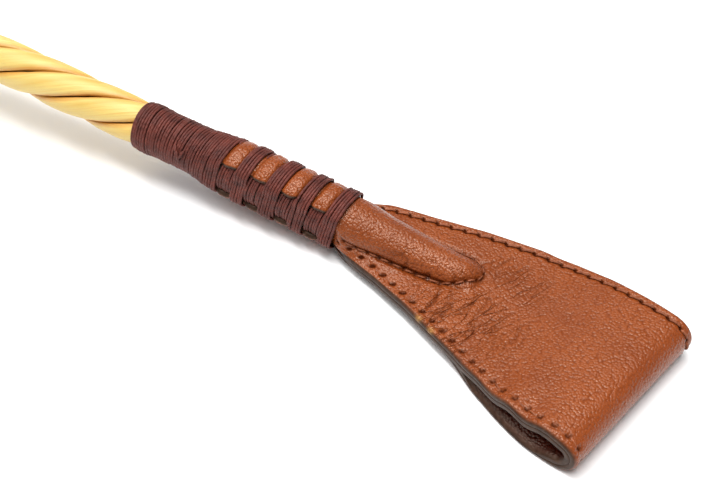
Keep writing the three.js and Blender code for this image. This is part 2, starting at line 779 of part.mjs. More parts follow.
export default group;
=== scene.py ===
import math

import bpy
import numpy as np
from mathutils import Matrix, Vector


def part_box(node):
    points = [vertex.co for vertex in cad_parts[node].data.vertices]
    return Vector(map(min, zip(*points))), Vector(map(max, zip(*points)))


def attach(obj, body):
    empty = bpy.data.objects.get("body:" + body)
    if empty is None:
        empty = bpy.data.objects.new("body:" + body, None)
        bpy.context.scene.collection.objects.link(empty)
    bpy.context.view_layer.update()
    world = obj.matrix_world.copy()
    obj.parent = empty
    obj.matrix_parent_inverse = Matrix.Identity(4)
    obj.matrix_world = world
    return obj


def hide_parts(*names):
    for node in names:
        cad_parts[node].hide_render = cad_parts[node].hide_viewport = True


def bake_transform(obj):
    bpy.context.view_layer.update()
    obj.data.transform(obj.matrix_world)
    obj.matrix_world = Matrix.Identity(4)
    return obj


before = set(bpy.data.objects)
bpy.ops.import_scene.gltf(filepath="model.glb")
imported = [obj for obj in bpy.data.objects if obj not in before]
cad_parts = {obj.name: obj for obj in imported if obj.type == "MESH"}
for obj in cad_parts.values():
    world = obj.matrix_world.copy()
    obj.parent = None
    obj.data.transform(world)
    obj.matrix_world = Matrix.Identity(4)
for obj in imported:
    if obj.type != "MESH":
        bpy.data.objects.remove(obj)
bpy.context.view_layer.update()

MM = 0.001
RNG = np.random.default_rng(7)

# ---------------------------------------------------------------- the part's own frames, in millimetres
# "back" is measured along the shaft from the core's end toward the butt; the keeper's frame lies flat,
# with "along" from the binding toward the fold and "side" across it.
CORE_END_HEIGHT = 4.4
CORE_END_SLOPE = math.radians(7.6)
BOW_RADIUS = 2423.0
BINDING_BACK = 29.0
BAND_LENGTH = 4.1
WINDOW_LENGTH = 3.4
BAND_PITCH = BAND_LENGTH + WINDOW_LENGTH
MAIN_FRONT = BINDING_BACK + 4 * BAND_PITCH
MAIN_REAR = MAIN_FRONT + 24.0
STRAND_PITCH = 64.0
STRAND_COUNT = 4
STRAND_PHASE = math.radians(18)
KEEPER_SKEW = math.radians(-13.6)
KEEPER_SIDE = 4.9
KEEPER_LENGTH = 71.0
LEAF = 2.7
LEAF_GAP = 0.2
LAYER = 1.35
FOLD_INNER = 2.0
FOLD_OPEN = 43.0
FOLD_START = 39.0
ROD_REAR = 569
ROD_RADIUS = 2.6
CLOSED = 2 * LEAF + LEAF_GAP / 2


def bow(back, side, up):
    """A point of the straight shaft, measured back from the core's end, on the bowed one."""
    back, side, up = np.broadcast_arrays(*[np.asarray(v, float) for v in (back, side, up)])
    slope = CORE_END_SLOPE - back / BOW_RADIUS
    x = -BOW_RADIUS * (math.sin(CORE_END_SLOPE) - np.sin(slope))
    z = CORE_END_HEIGHT + BOW_RADIUS * (np.cos(slope) - math.cos(CORE_END_SLOPE))
    return np.stack([x + up * np.sin(slope), side, z + up * np.cos(slope)], -1)


BINDING_X = float(bow(BINDING_BACK, 0, 0)[0])
# The CAD's frame is found from the rear end and the middle of the spine rod.
_rod_low, _rod_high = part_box("spine_rod")
_rear = float(bow(ROD_REAR, 0, 0)[0] - ROD_RADIUS * abs(math.sin(CORE_END_SLOPE - ROD_REAR / BOW_RADIUS)))
OFFSET = np.array([_rod_low[0] / MM - _rear, (_rod_low[1] + _rod_high[1]) / 2 / MM, 0.0])


def around(back, radius, angle):
    """A point at a distance from the bowed shaft's axis and an angle from the top, positive toward +Y."""
    return bow(back, radius * np.sin(angle), radius * np.cos(angle))


def keeper(along, side, z):
    """A point of the keeper's own flat frame."""
    along, side, z = np.broadcast_arrays(*[np.asarray(v, float) for v in (along, side, z)])
    c, s = math.cos(KEEPER_SKEW), math.sin(KEEPER_SKEW)
    y = side + KEEPER_SIDE
    return np.stack([BINDING_X + along * c - y * s, along * s + y * c, z], -1)


def to_row(points):
    """Millimetres of the part's own frame as metres of the CAD's frame."""
    return (np.asarray(points, float) + OFFSET) * MM


_backs = np.linspace(-60, 90, 601)
_xs = bow(_backs, 0, 0)[:, 0]
_zs = bow(_backs, 0, 0)[:, 2]


def back_of(x):
    """How far back along the shaft a place x lies."""
    return np.interp(-x, -_xs, _backs)


def axis_height(back):
    """Height of the bowed axis above the floor."""
    return np.interp(back, _backs, _zs)


# ---------------------------------------------------------------- curves and noise
def noise2(x, y, seed):
    """Smooth value noise from -1 to 1."""
    n = 256
    t = np.random.default_rng(seed).random((n, n))
    xi, yi = np.floor(x).astype(int), np.floor(y).astype(int)
    fx, fy = x - xi, y - yi
    fx, fy = fx * fx * (3 - 2 * fx), fy * fy * (3 - 2 * fy)
    a, b = t[xi % n, yi % n], t[(xi + 1) % n, yi % n]
    c, d = t[xi % n, (yi + 1) % n], t[(xi + 1) % n, (yi + 1) % n]
    return 2 * ((a * (1 - fx) + b * fx) * (1 - fy) + (c * (1 - fx) + d * fx) * fy) - 1


def line_noise(x, row, seed):
    """The same noise along one line of it."""
    return noise2(x, x * 0 + row, seed)


def fbm(x, y, seed, octaves):
    """Noise with finer and weaker noise added to it."""
    return sum(noise2(x * 2 ** i, y * 2 ** i, seed + i) * 0.5 ** i for i in range(octaves))


def smooth(t):
    """0 below 0, 1 above 1 and an S-curve between."""
    t = np.clip(t, 0, 1)
    return t * t * (3 - 2 * t)


def bell(t):
    """A smooth hump, 1 at 0 and nearly 0 beyond 2."""
    return np.exp(-t ** 2)


def hann(count):
    """Smoothing weights that add up to 1."""
    return np.hanning(count) / np.hanning(count).sum()


def rounded_drop(edge, radius):
    """How far a rounded edge falls away at a distance in from it."""
    return radius * (1 - np.sqrt(1 - np.clip((radius - edge) / radius, 0, 1) ** 2))


def unit(vectors):
    """The same directions at length 1."""
    return vectors / (np.linalg.norm(vectors, axis=-1, keepdims=True) + 1e-12)


def one_turn(count):
    """Evenly spaced angles of one full turn."""
    return 2 * np.pi * np.arange(count) / count


def run_lengths(points):
    """Distance from the first point to each, along the line through them."""
    return np.concatenate([[0], np.cumsum(np.linalg.norm(np.diff(points, axis=0), axis=1))])


def at_runs(at, run, line):
    """The points of a flat line at the given distances along it."""
    return np.stack([np.interp(at, run, line[:, k]) for k in (0, 1)], -1)


# ---------------------------------------------------------------- meshes
def with_ends(values):
    """The values of all the rings' points, then the means of the first ring and of the last."""
    return np.concatenate([values.reshape(-1, *values.shape[2:]), [values[0].mean(0), values[-1].mean(0)]])


def build_mesh(name, vertices, faces, uv=None, attributes=None):
    """A smooth mesh facing out. faces is a list of (n, k) arrays, uv one pair per vertex in millimetres."""
    mesh = bpy.data.meshes.new(name)
    mesh.vertices.add(len(vertices))
    mesh.vertices.foreach_set("co", to_row(vertices).astype(np.float32).ravel())
    loops = np.concatenate([f.ravel() for f in faces])
    counts = np.concatenate([np.full(len(f), f.shape[1]) for f in faces])
    mesh.loops.add(len(loops))
    mesh.loops.foreach_set("vertex_index", loops.astype(np.int32))
    mesh.polygons.add(len(counts))
    starts = np.concatenate([[0], np.cumsum(counts)[:-1]])
    mesh.polygons.foreach_set("loop_start", starts.astype(np.int32))
    mesh.update(calc_edges=True)
    if uv is not None:
        layer = mesh.uv_layers.new(name="run")
        layer.data.foreach_set("uv", np.asarray(uv, np.float32)[loops].ravel())
    for key, values in (attributes or {}).items():
        attribute = mesh.attributes.new(key, "FLOAT", "POINT")
        attribute.data.foreach_set("value", np.asarray(values, np.float32).ravel())
    mesh.validate()
    mesh.polygons.foreach_set("use_smooth", np.ones(len(mesh.polygons), bool))
    face_out(mesh)
    obj = bpy.data.objects.new(name, mesh)
    bpy.context.scene.collection.objects.link(obj)
    return obj


def grid_faces(n, m, start=0):
    """Faces of n closed rings of m points, and of a fan at each end round two points after them."""
    i, j = np.meshgrid(np.arange(n - 1), np.arange(m), indexing="ij")
    here, after = i * m + j, i * m + (j + 1) % m
    body = np.stack([here, here + m, after + m, after], -1).reshape(-1, 4)
    here, after, last = np.arange(m), (np.arange(m) + 1) % m, (n - 1) * m
    fans = np.concatenate([np.stack([here, after, np.full(m, n * m)], -1),
                           np.stack([last + after, last + here, np.full(m, n * m + 1)], -1)])
    return body + start, fans + start


def ring_tube(name, rings, uv=None, attributes=None):
    """rings is (n, m, 3): closed rings joined into a capped tube."""
    extra = {key: with_ends(np.asarray(values, float)) for key, values in (attributes or {}).items()}
    uv = None if uv is None else with_ends(uv)
    return build_mesh(name, with_ends(rings), grid_faces(*rings.shape[:2]), uv, extra)


def face_out(mesh):
    """Turns the mesh's faces out if its volume is negative."""
    co = np.zeros(len(mesh.vertices) * 3)
    mesh.vertices.foreach_get("co", co)
    co = co.reshape(-1, 3)
    mesh.calc_loop_triangles()
    triangles = np.zeros(len(mesh.loop_triangles) * 3, int)
    mesh.loop_triangles.foreach_get("vertices", triangles)
    a, b, c = (co[corner] - co.mean(0) for corner in triangles.reshape(-1, 3).T)
    if np.einsum("ij,ij->i", a, np.cross(b, c)).sum() < 0:
        mesh.flip_normals()


def thread_tube(path, radius, sides, flat, up):
    """Rings and uv of a thread round a path of points, (n, 3), flattened toward up."""
    tangent = unit(np.gradient(path, axis=0))
    right = unit(np.cross(tangent, np.broadcast_to(up, path.shape)))
    normal = np.cross(right, tangent)
    a = one_turn(sides)
    run = run_lengths(path)
    radius = np.broadcast_to(radius, run.shape)
    section = np.cos(a)[None, :, None] * right[:, None] + flat * np.sin(a)[None, :, None] * normal[:, None]
    uv = np.stack(np.broadcast_arrays(run[:, None], a[None] * radius.mean()), -1)
    return path[:, None] + radius[:, None, None] * section, uv


def joined_tubes(name, paths, radius, sides, flat, ups):
    """Several separate short threads, with rounded ends, as one object."""
    vertices, uvs, bodies, fans, start = [], [], [], [], 0
    for path, up in zip(paths, ups):
        grow = np.clip(np.sqrt(1 - np.abs(np.linspace(-1, 1, len(path))) ** 6), 0.35, 1)
        rings, uv = thread_tube(path, radius * grow, sides, flat, up)
        body, fan = grid_faces(len(path), sides, start)
        vertices.append(with_ends(rings))
        uvs.append(with_ends(uv))
        bodies.append(body)
        fans.append(fan)
        start += len(path) * sides + 2
    faces = [np.concatenate(bodies), np.concatenate(fans)]
    return build_mesh(name, np.concatenate(vertices), faces, np.concatenate(uvs))


# ---------------------------------------------------------------- materials
def srgb(r, g, b):
    def lin(c):
        c /= 255.0
        return c / 12.92 if c <= 0.04045 else ((c + 0.055) / 1.055) ** 2.4
    return (lin(r), lin(g), lin(b), 1.0)


class Nodes:
    """Short helpers round one material's node tree."""

    def __init__(self, name):
        self.material = bpy.data.materials.new(name)
        self.material.use_nodes = True
        self.tree = self.material.node_tree
        self.shader = self.tree.nodes["Principled BSDF"]
        self.place = self.add("ShaderNodeTexCoord").outputs["Object"]

    def add(self, kind, **values):
        """A new node with its settings and its inputs' values."""
        node = self.tree.nodes.new(kind)
        for key, value in values.items():
            if hasattr(node, key):
                setattr(node, key, value)
            else:
                node.inputs[key.replace("_", " ")].default_value = value
        return node

    def feed(self, socket, value):
        """Gives a socket another node's output or a plain value."""
        if hasattr(value, "node"):
            self.tree.links.new(value, socket)
        else:
            socket.default_value = value

    def scaled(self, scale, source=None):
        node = self.add("ShaderNodeMapping", Scale=scale)
        self.feed(node.inputs["Vector"], source or self.place)
        return node.outputs["Vector"]

    def run(self):
        """Distance along the piece and across it, in millimetres."""
        return self.add("ShaderNodeUVMap", uv_map="run").outputs["UV"]

    def attribute(self, name):
        return self.add("ShaderNodeAttribute", attribute_name=name).outputs["Fac"]

    def noise(self, vector, scale, detail, rough):
        node = self.add("ShaderNodeTexNoise", Scale=scale, Detail=detail, Roughness=rough)
        self.feed(node.inputs["Vector"], vector)
        return node.outputs["Fac"]

    def cells(self, scale, smoothness):
        node = self.add("ShaderNodeTexVoronoi", feature="SMOOTH_F1", Scale=scale, Smoothness=smoothness)
        self.feed(node.inputs["Vector"], self.place)
        return node.outputs["Distance"]

    def ramp(self, value, stops):
        node = self.add("ShaderNodeValToRGB")
        elements = node.color_ramp.elements
        while len(elements) < len(stops):
            elements.new(0.5)
        for element, (position, colour) in zip(elements, stops):
            element.position = position
            element.color = colour
        self.feed(node.inputs["Fac"], value)
        return node.outputs["Color"]

    def grey(self, value, stops):
        return self.ramp(value, [(position, (level, level, level, 1)) for position, level in stops])

    def mix(self, factor, a, b):
        node = self.add("ShaderNodeMix", data_type="RGBA")
        for index, value in ((0, factor), (6, a), (7, b)):
            self.feed(node.inputs[index], value)
        return node.outputs[2]

    def math(self, operation, a, b=0.0, clamp=False):
        node = self.add("ShaderNodeMath", operation=operation, use_clamp=clamp)
        self.feed(node.inputs[0], a)
        self.feed(node.inputs[1], b)
        return node.outputs[0]

    def times(self, a, b, clamp=False):
        return self.math("MULTIPLY", a, b, clamp)

    def plus(self, a, b):
        return self.math("ADD", a, b)

    def less(self, a, b):
        return self.math("SUBTRACT", a, b)

    def bump(self, height, distance, strength):
        node = self.add("ShaderNodeBump", Strength=strength, Distance=distance)
        self.feed(node.inputs["Height"], height)
        return node.outputs["Normal"]

    def finish(self, colour, roughness, normal, **constants):
        self.feed(self.shader.inputs["Base Color"], colour)
        self.feed(self.shader.inputs["Roughness"], roughness)
        if normal is not None:
            self.feed(self.shader.inputs["Normal"], normal)
        for key, value in constants.items():
            self.shader.inputs[key.replace("_", " ")].default_value = value
        return self.material


# Leather reads the attributes paint, deep, wrinkle and scuff, and the mask of painted shade for creases,
# stitch holes, sunk seams and pucker valleys, each from 0 to 1 at every vertex.
PEBBLES, PORES = 1800, 4200
# Painted shade: the first dark brown goes into the creases, stitch holes, sunk seams and pucker valleys, the
# second into the wrinkle lines.
RECESS_SHADE_BROWN, WRINKLE_SHADE_BROWN = srgb(46, 15, 6), srgb(72, 27, 9)
FOLD_TAN, SCUFF_STRAW = srgb(134, 58, 14), srgb(178, 128, 70)
PAINT_DARK, PAINT_LIGHT = srgb(42, 26, 19), srgb(74, 52, 40)
FUZZ_BROWN = srgb(146, 88, 72)
STRAW_SHADES = (srgb(203, 169, 84), srgb(218, 192, 111), srgb(228, 207, 138))


def leather_material(name, light, mid, dark, grain=1.0):
    """Tanned leather: pebbled grain, mottled dye, darker in the pebble hollows, creased, with painted shade
    in the creases, stitch holes, sunk seams and wrinkle lines, and with painted edges.
    """
    n = Nodes(name)
    place, run = n.place, n.run()
    recess_shade, paint = n.attribute("recess_shade"), n.attribute("paint")
    warp = n.noise(place, 260, 2, 0.5)
    pebbles = n.cells(PEBBLES / grain, 0.1)
    fine = n.noise(place, PORES / grain, 3, 0.6)
    colour = n.ramp(n.noise(place, 42, 4, 0.6), [(0.32, dark), (0.5, mid), (0.7, light)])
    colour = n.mix(n.grey(n.noise(place, 160, 4, 0.65), [(0.35, 0.0), (0.75, 0.55)]), colour, mid)
    colour = n.mix(n.grey(pebbles, [(0.0, 0.0), (0.42, 0.0), (0.8, 0.85)]), colour, dark)
    colour = n.mix(n.times(n.attribute("deep"), 0.6, True), colour, FOLD_TAN)
    # Painted shade darkens the creases, stitch holes, sunk seams and pucker valleys.
    colour = n.mix(n.times(recess_shade, 0.9, True), colour, RECESS_SHADE_BROWN)
    lines = []
    for stretch, detail_level, width in (((0.26, 0.05, 1), 3, 0.014), ((0.5, 0.13, 1), 2, 0.022)):
        wave = n.noise(n.scaled(stretch, run), 1.0, detail_level, 0.5)
        lines.append(n.grey(n.math("ABSOLUTE", n.less(wave, 0.5)), [(0.0, 1.0), (width, 0.0)]))
    line = n.math("MAXIMUM", lines[0], n.times(lines[1], 0.7))
    line = n.times(line, n.attribute("wrinkle"), True)
    # Painted shade in the wrinkle lines, which the bump below also cuts in.
    colour = n.mix(n.times(line, 0.8, True), colour, WRINKLE_SHADE_BROWN)
    height = n.plus(n.times(n.times(pebbles, pebbles), -1.15), n.times(fine, 0.3))
    height = n.less(n.plus(height, n.times(warp, 0.5)), n.times(line, 1.5))
    height = n.times(height, n.less(1.0, n.times(paint, 0.85)))
    paint_colour = n.ramp(n.noise(place, 700, 3, 0.6), [(0.3, PAINT_DARK), (0.75, PAINT_LIGHT)])
    colour = n.mix(paint, colour, paint_colour)
    rough = n.grey(n.noise(place, 900, 3, 0.6), [(0.3, 0.22), (0.7, 0.36)])
    rough = n.mix(paint, rough, (0.42, 0.42, 0.42, 1))
    scuff = n.times(n.attribute("scuff"), n.grey(fine, [(0.35, 0.3), (0.6, 1.0)]), True)
    colour = n.mix(scuff, colour, SCUFF_STRAW)
    # Reflection is lowered where the painted shade lies and on the painted edges.
    shine = n.times(n.times(n.less(1.0, recess_shade), 0.5), n.less(1.0, n.times(paint, 0.6)))
    n.feed(n.shader.inputs["Specular IOR Level"], shine)
    return n.finish(colour, rough, n.bump(height, 0.00017, 0.88), Specular_Tint=(1.0, 0.84, 0.69, 1))


def thread_material(name, light, dark):
    """Waxed twisted thread: the plies wind round the run."""
    n = Nodes(name)
    split = n.add("ShaderNodeSeparateXYZ")
    n.feed(split.inputs[0], n.run())
    ply = n.math("SINE", n.plus(n.times(split.outputs[0], 5.28), n.times(split.outputs[1], 3.0)))
    fuzz = n.noise(n.place, 5200, 3, 0.7)
    colour = n.ramp(n.noise(n.place, 420, 3, 0.6), [(0.3, dark), (0.72, light)])
    colour = n.mix(n.grey(fuzz, [(0.5, 0.0), (0.85, 0.35)]), colour, FUZZ_BROWN)
    normal = n.bump(n.plus(n.times(ply, 0.5), fuzz), 0.00009, 0.8)
    return n.finish(colour, n.grey(fuzz, [(0.3, 0.5), (0.8, 0.75)]), normal, Specular_IOR_Level=0.35)


def strand_material():
    """Straw-yellow fibre: fine lengthwise grain, ochre streaks beside the cracks mixed with painted shade,
    and painted shade in the cracks.
    """
    n = Nodes("straw_fibre")
    run = n.run()
    streak = n.noise(n.scaled((0.05, 2.6, 1), run), 1.0, 5, 0.65)
    fine = n.noise(n.scaled((0.16, 9.0, 1), run), 1.0, 4, 0.7)
    broad = n.noise(n.scaled((0.02, 0.4, 1), run), 1.0, 3, 0.5)
    colour = n.ramp(broad, list(zip((0.3, 0.6, 0.8), STRAW_SHADES)))
    colour = n.mix(n.grey(streak, [(0.52, 0.0), (0.72, 0.75)]), colour, srgb(214, 160, 70))
    colour = n.mix(n.grey(fine, [(0.5, 0.0), (0.8, 0.4)]), colour, srgb(206, 160, 84))
    # Beside the cracks the ochre is partly the straw's own streaks and partly painted shade.
    ochre = n.times(n.attribute("groove_ochre_and_shade"), n.grey(streak, [(0.3, 0.25), (0.62, 1.0)]), True)
    colour = n.mix(ochre, colour, srgb(196, 128, 44))
    # Painted shade: dark brown in the cracks between the strands.
    colour = n.mix(n.attribute("crack_shade"), colour, srgb(60, 38, 16))
    normal = n.bump(n.plus(n.times(fine, 0.6), n.times(streak, 0.8)), 0.00016, 0.55)
    return n.finish(colour, n.grey(fine, [(0.3, 0.34), (0.8, 0.52)]), normal, Specular_IOR_Level=0.5)


def brass_material():
    """Worn brass, brushed across its length."""
    n = Nodes("worn_brass")
    scratch = n.noise(n.scaled((60, 2600, 2600)), 1.0, 3, 0.6)
    colour = n.ramp(n.noise(n.place, 90, 4, 0.6), [(0.3, srgb(176, 134, 66)), (0.7, srgb(214, 178, 104))])
    rough = n.grey(scratch, [(0.3, 0.2), (0.75, 0.38)])
    return n.finish(colour, rough, n.bump(scratch, 0.00002, 0.4), Metallic=1.0)


def plain_fibre_material():
    """The hidden rod: pale fibre with a lengthwise grain."""
    n = Nodes("rod_fibre")
    grain = n.noise(n.scaled((30, 3000, 3000)), 1.0, 3, 0.6)
    colour = n.ramp(grain, [(0.3, srgb(196, 186, 150)), (0.7, srgb(224, 216, 184))])
    return n.finish(colour, 0.45, n.bump(grain, 0.00002, 0.4))


KEEPER_LEATHER = leather_material("keeper_leather", srgb(146, 72, 31), srgb(136, 65, 25), srgb(118, 52, 17))
# The lining is the keeper's tan leather darkened to the shade it lies in inside the fold: its colours are
# painted shade.
SHADED_KEEPER_LINING = leather_material("keeper_lining", srgb(98, 36, 20), srgb(78, 28, 15), srgb(54, 18, 10))
GRIP_LEATHER = leather_material("grip_leather", srgb(130, 62, 28), srgb(116, 52, 21), srgb(92, 38, 14), 1.3)
WAXED_THREAD = thread_material("waxed_thread", srgb(110, 50, 39), srgb(67, 26, 20))
KEEPER_THREAD = thread_material("keeper_thread", srgb(156, 88, 54), srgb(108, 54, 28))
GRIP_THREAD = thread_material("grip_thread", srgb(200, 176, 140), srgb(150, 124, 92))
STRAW = strand_material()
BRASS = brass_material()


def dress(obj, material, ride=None, replaces=()):
    """Gives a piece its material, the body that it rides on and the nodes that it replaces."""
    obj.data.materials.clear()
    obj.data.materials.append(material)
    if ride:
        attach(obj, ride)
    if replaces:
        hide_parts(*replaces)
    return obj


# ---------------------------------------------------------------- shaft
GRIP_BACK, GRIP_REAR, COLLAR_BACK = 408.5, 561.5, 398.0
STRAND_FRONT, STRAND_REAR = 3.0, 403.5
TIP_RADIUS, GRIP_END_RADIUS = 5.15, 6.5


def shaft_radius(back):
    """Radius over the strands: tapered inside the keeper, then growing slowly toward the grip."""
    tip = np.interp(back, [0, 24, 31, MAIN_REAR], [1.5, 3.3, 5.1, TIP_RADIUS])
    grown = np.clip((back - MAIN_REAR) / (COLLAR_BACK - MAIN_REAR), 0, 1)
    return tip + (GRIP_END_RADIUS - TIP_RADIUS) * grown


def rod_clear(back):
    """Inner radius of the strands, just clear of the rod."""
    return np.interp(back, [0, BINDING_BACK, COLLAR_BACK], [0.8, 2.15, 2.75])


def strand(index):
    """One twisted strand: a ragged fluted lobe split from each neighbour, with masks of painted shade on its
    sides and edges.
    """
    steps = np.arange(STRAND_FRONT, STRAND_REAR, 0.8)
    half, middle = np.pi / STRAND_COUNT, 2 * np.pi * index / STRAND_COUNT
    outer = np.linspace(-1, 1, 47)
    outer = np.sign(outer) * np.abs(outer) ** 0.8
    back, a = np.meshgrid(steps, outer, indexing="ij")
    radius = shaft_radius(back)
    ragged = fbm(back * 0.22, a * 0 + 3 * index, 40 + index, 3)
    gap = 0.022 + 0.016 * np.clip(ragged, -1, 1.4)
    lobe = 1.035 - 0.20 * np.abs(a) ** 2.6 - 0.13 * smooth((np.abs(a) - 0.90) / 0.10) ** 2
    fibre = 0.045 * fbm(back * 0.05 + 9 * index, a * half * radius * 2.6 + 17 * index, 50 + index, 3)
    sag = 0.10 * noise2(back * 0.055, a * 1.3 + 11 * index, 60 + index)
    r = radius * lobe + (fibre + sag) * (1 - np.abs(a) ** 6)
    phi = a * (half - gap) + middle
    # Masks of the lobe's sides, ochre mixed with painted shade, and of its edges, painted shade.
    groove_ochre_and_shade, crack_shade = smooth((np.abs(a) - 0.62) / 0.3), smooth((np.abs(a) - 0.955) / 0.045)
    back_in, a_in = np.meshgrid(steps, np.linspace(1, -1, 7)[1:-1], indexing="ij")
    base = rod_clear(steps)[:, None]
    side = np.linspace(0.85, 0.25, 3)[None]
    near_r, far_r = base + (r[:, :1] - base) * side[:, ::-1], base + (r[:, -1:] - base) * side
    hidden = np.ones((len(steps), a_in.shape[1] + 2 * side.shape[1]))
    r = np.concatenate([r, far_r, rod_clear(back_in), near_r], 1)
    phi = np.concatenate([phi, np.repeat(phi[:, -1:], 3, 1), a_in * (half - 0.03) + middle,
                          np.repeat(phi[:, :1], 3, 1)], 1)
    back = np.concatenate([back, hidden * steps[:, None]], 1)
    groove_ochre_and_shade, crack_shade = np.concatenate([groove_ochre_and_shade, hidden], 1), np.concatenate([crack_shade, hidden], 1)
    points = around(back, r, phi + STRAND_PHASE - 2 * np.pi * back / STRAND_PITCH)
    uv = np.stack([back * 1.12 + 31 * index, (phi - middle) * 5.2 + 40 * index], -1)
    under_whipping = back < MAIN_REAR - 1.2
    return ring_tube(f"shaft_strand_{index + 1}_fibre", points, uv,
                     {"groove_ochre_and_shade": groove_ochre_and_shade, "crack_shade": np.maximum(crack_shade, under_whipping)})


for k in range(STRAND_COUNT):
    dress(strand(k), STRAW, "crop", [f"shaft_strand_{k + 1}"])

# ---------------------------------------------------------------- tip whipping
THREAD = 0.33
THREAD_PITCH = 0.665
UNDER = 5.22
TONGUE = 1.35
SLANT = 0.95
BAND_SHOWN = 3.6
TOP_HALF = math.radians(43)
BOTTOM_HALF = math.radians(58)
KNOT_STRANDS = ((71.2, -48, 69.2, -84), (68.5, -54, 69.9, -78), (70.4, -58, 69.5, -82))


def slant_at(theta, back):
    """How far the turns lean toward the butt at an angle from the top."""
    return SLANT * np.cos(theta + 2.39) * smooth((MAIN_REAR - 4 - back) / 16)


def over_amount(back):
    """1 where the thread passes over the tongues, 0 where it passes under them."""
    local = (back - BINDING_BACK) % BAND_PITCH
    over = smooth((BAND_SHOWN - local) / 0.45 + 0.5) * smooth(local / 0.4)
    over = np.where(back > MAIN_FRONT, np.clip(1.1 - (back - MAIN_FRONT) / 7.0, 0, 1) * 0.8, over)
    return np.where(back < BINDING_BACK + 1, 1.0, over)


def tongue_height(phi):
    """How far the thread is lifted by the tongues at an angle from the top."""
    phi = (phi + np.pi) % (2 * np.pi) - np.pi
    reach = math.radians(30)
    top = 1 - smooth((np.abs(phi) - TOP_HALF) / reach)
    bottom = 1 - smooth((np.pi - np.abs(phi) - BOTTOM_HALF) / reach)
    return np.maximum(top, bottom) * TONGUE


def whipping_thread():
    """One thread from under the keeper's first band to the end of the main run."""
    turns = (MAIN_REAR - BINDING_BACK - THREAD) / THREAD_PITCH
    theta = np.pi + np.linspace(0, 2 * np.pi * turns, int(turns * 56))
    wander = 0.12 * line_noise(theta * 0.9, 2, 5) + 0.10 * line_noise(theta * 0.21, 5, 6)
    back = BINDING_BACK + THREAD + (theta / (2 * np.pi) - 0.5) * THREAD_PITCH + wander
    radius = UNDER + THREAD + over_amount(back) * tongue_height(theta)
    back = back + slant_at(theta, back)
    radius = radius + 0.07 * line_noise(theta * 0.33, 8, 7)
    radius = radius + 0.16 * line_noise(back * 0.3, 2, 9) * smooth((back - 52) / 8)
    path = around(back, radius, theta)
    thickness = THREAD * (1.04 + 0.09 * line_noise(theta * 2.1, 0, 11))
    rings, uv = thread_tube(path, thickness, 8, 0.95, path - bow(back, 0, 0))
    return ring_tube("tip_whipping_thread", rings, uv)


whipping_nodes = ["tip_whipping_main"]
whipping_nodes += [f"tip_whipping_{kind}_{i + 1}" for kind in ("band", "under") for i in range(4)]
dress(whipping_thread(), WAXED_THREAD, "crop", whipping_nodes)


def whipping_knot():
    """Small hitch on the near side where the thread's end is tucked under the main run."""
    paths, ups = [], []
    t = np.linspace(0, 1, 15)
    for back_a, angle_a, back_b, angle_b in KNOT_STRANDS:
        back = back_a + (back_b - back_a) * t + 0.16 * np.sin(8 * t)
        radius = UNDER + 2 * THREAD + 0.05 + 0.26 * np.sin(np.pi * t)
        paths.append(around(back, radius, np.radians(angle_a + (angle_b - angle_a) * t)))
        ups.append(paths[-1] - bow(back, 0, 0))
    return joined_tubes("tip_whipping_knot", paths, 0.36, 8, 0.9, ups)


dress(whipping_knot(), WAXED_THREAD, "crop")


def tongue(name, half, middle, seed_row):
    """One tongue of the keeper leather under the whipping: a pillow in each window."""
    backs = np.arange(BINDING_BACK + 1.2, MAIN_FRONT + 2.6, 0.15)
    flat_back, a = np.meshgrid(backs, np.linspace(-1, 1, 61), indexing="ij")
    t = ((flat_back - BINDING_BACK) % BAND_PITCH - BAND_SHOWN) / (BAND_PITCH - BAND_SHOWN)
    window = (t > 0) & (flat_back < MAIN_FRONT)
    puff = np.where(window, (1 - np.abs(2 * np.clip(t, 0, 1) - 1) ** 3.4), 0)
    crown = 0.22 * puff * (1 - 0.5 * a ** 4)
    tail = smooth((flat_back - MAIN_FRONT) / 1.2)
    wear = 0.10 * fbm(flat_back * 0.55, a * 2.2 + seed_row, 21, 3)
    edge = half * (1 - np.abs(a)) * (UNDER + TONGUE)
    inner = UNDER + 0.42 * puff
    outer = inner + TONGUE * (1 - 0.6 * tail) - 0.12 + crown + wear * puff - rounded_drop(edge, 0.75)
    wide = half * (1 + 0.05 * puff + 0.03 * noise2(flat_back * 0.5, a * 0 + 3, 22))
    phi = a * wide + middle
    back = flat_back + slant_at(phi, flat_back)

    def closed(upper, lower):
        """The outer surface's values, then the inner one's from the other edge, one in five."""
        return np.concatenate([upper, lower[:, ::-5]], 1)

    points = around(closed(back, back), closed(outer, inner), closed(phi, phi))
    paint = closed(smooth((0.62 - edge) / 0.25), np.ones_like(a))
    shade = 0.5 * smooth((np.abs(t - 0.5) - 0.36) / 0.14) * window
    masks = {"paint": paint, "deep": 0.2 + 0 * paint, "recess_shade": closed(shade, np.zeros_like(a))}
    return ring_tube(name, points, None, masks)


for label, half, middle, seed_row in (("top", TOP_HALF, 0.0, 5), ("bottom", BOTTOM_HALF, np.pi, 9)):
    dress(tongue(f"keeper_tongue_{label}", half, middle, seed_row), KEEPER_LEATHER, "crop")

# ---------------------------------------------------------------- keeper
NEAR_EDGE = np.array([[-6, -8.6], [-1, -9.6], [2, -10.8], [13, -11.4], [22, -12.7], [38, -15.9], [52, -19.7],
                      [60, -20.8], [90, -20.9]])
FAR_EDGE = np.array([[-6, 3.0], [-1.5, 5.4], [2, 8.0], [11.5, 11.4], [22, 15.1], [35.7, 19.0], [44, 20.2],
                     [52, 20.4], [60, 19.8], [66, 19.2], [90, 18.6]])


def softened(table, reach):
    """An outline through the table's points with its corners rounded, as x and y."""
    x = np.arange(-8, 92, 0.25)
    y = np.interp(x, table[:, 0], table[:, 1])
    kernel = hann(int(2 * reach / 0.25) + 1)
    return x, np.convolve(np.pad(y, len(kernel) // 2, mode="edge"), kernel, mode="valid")


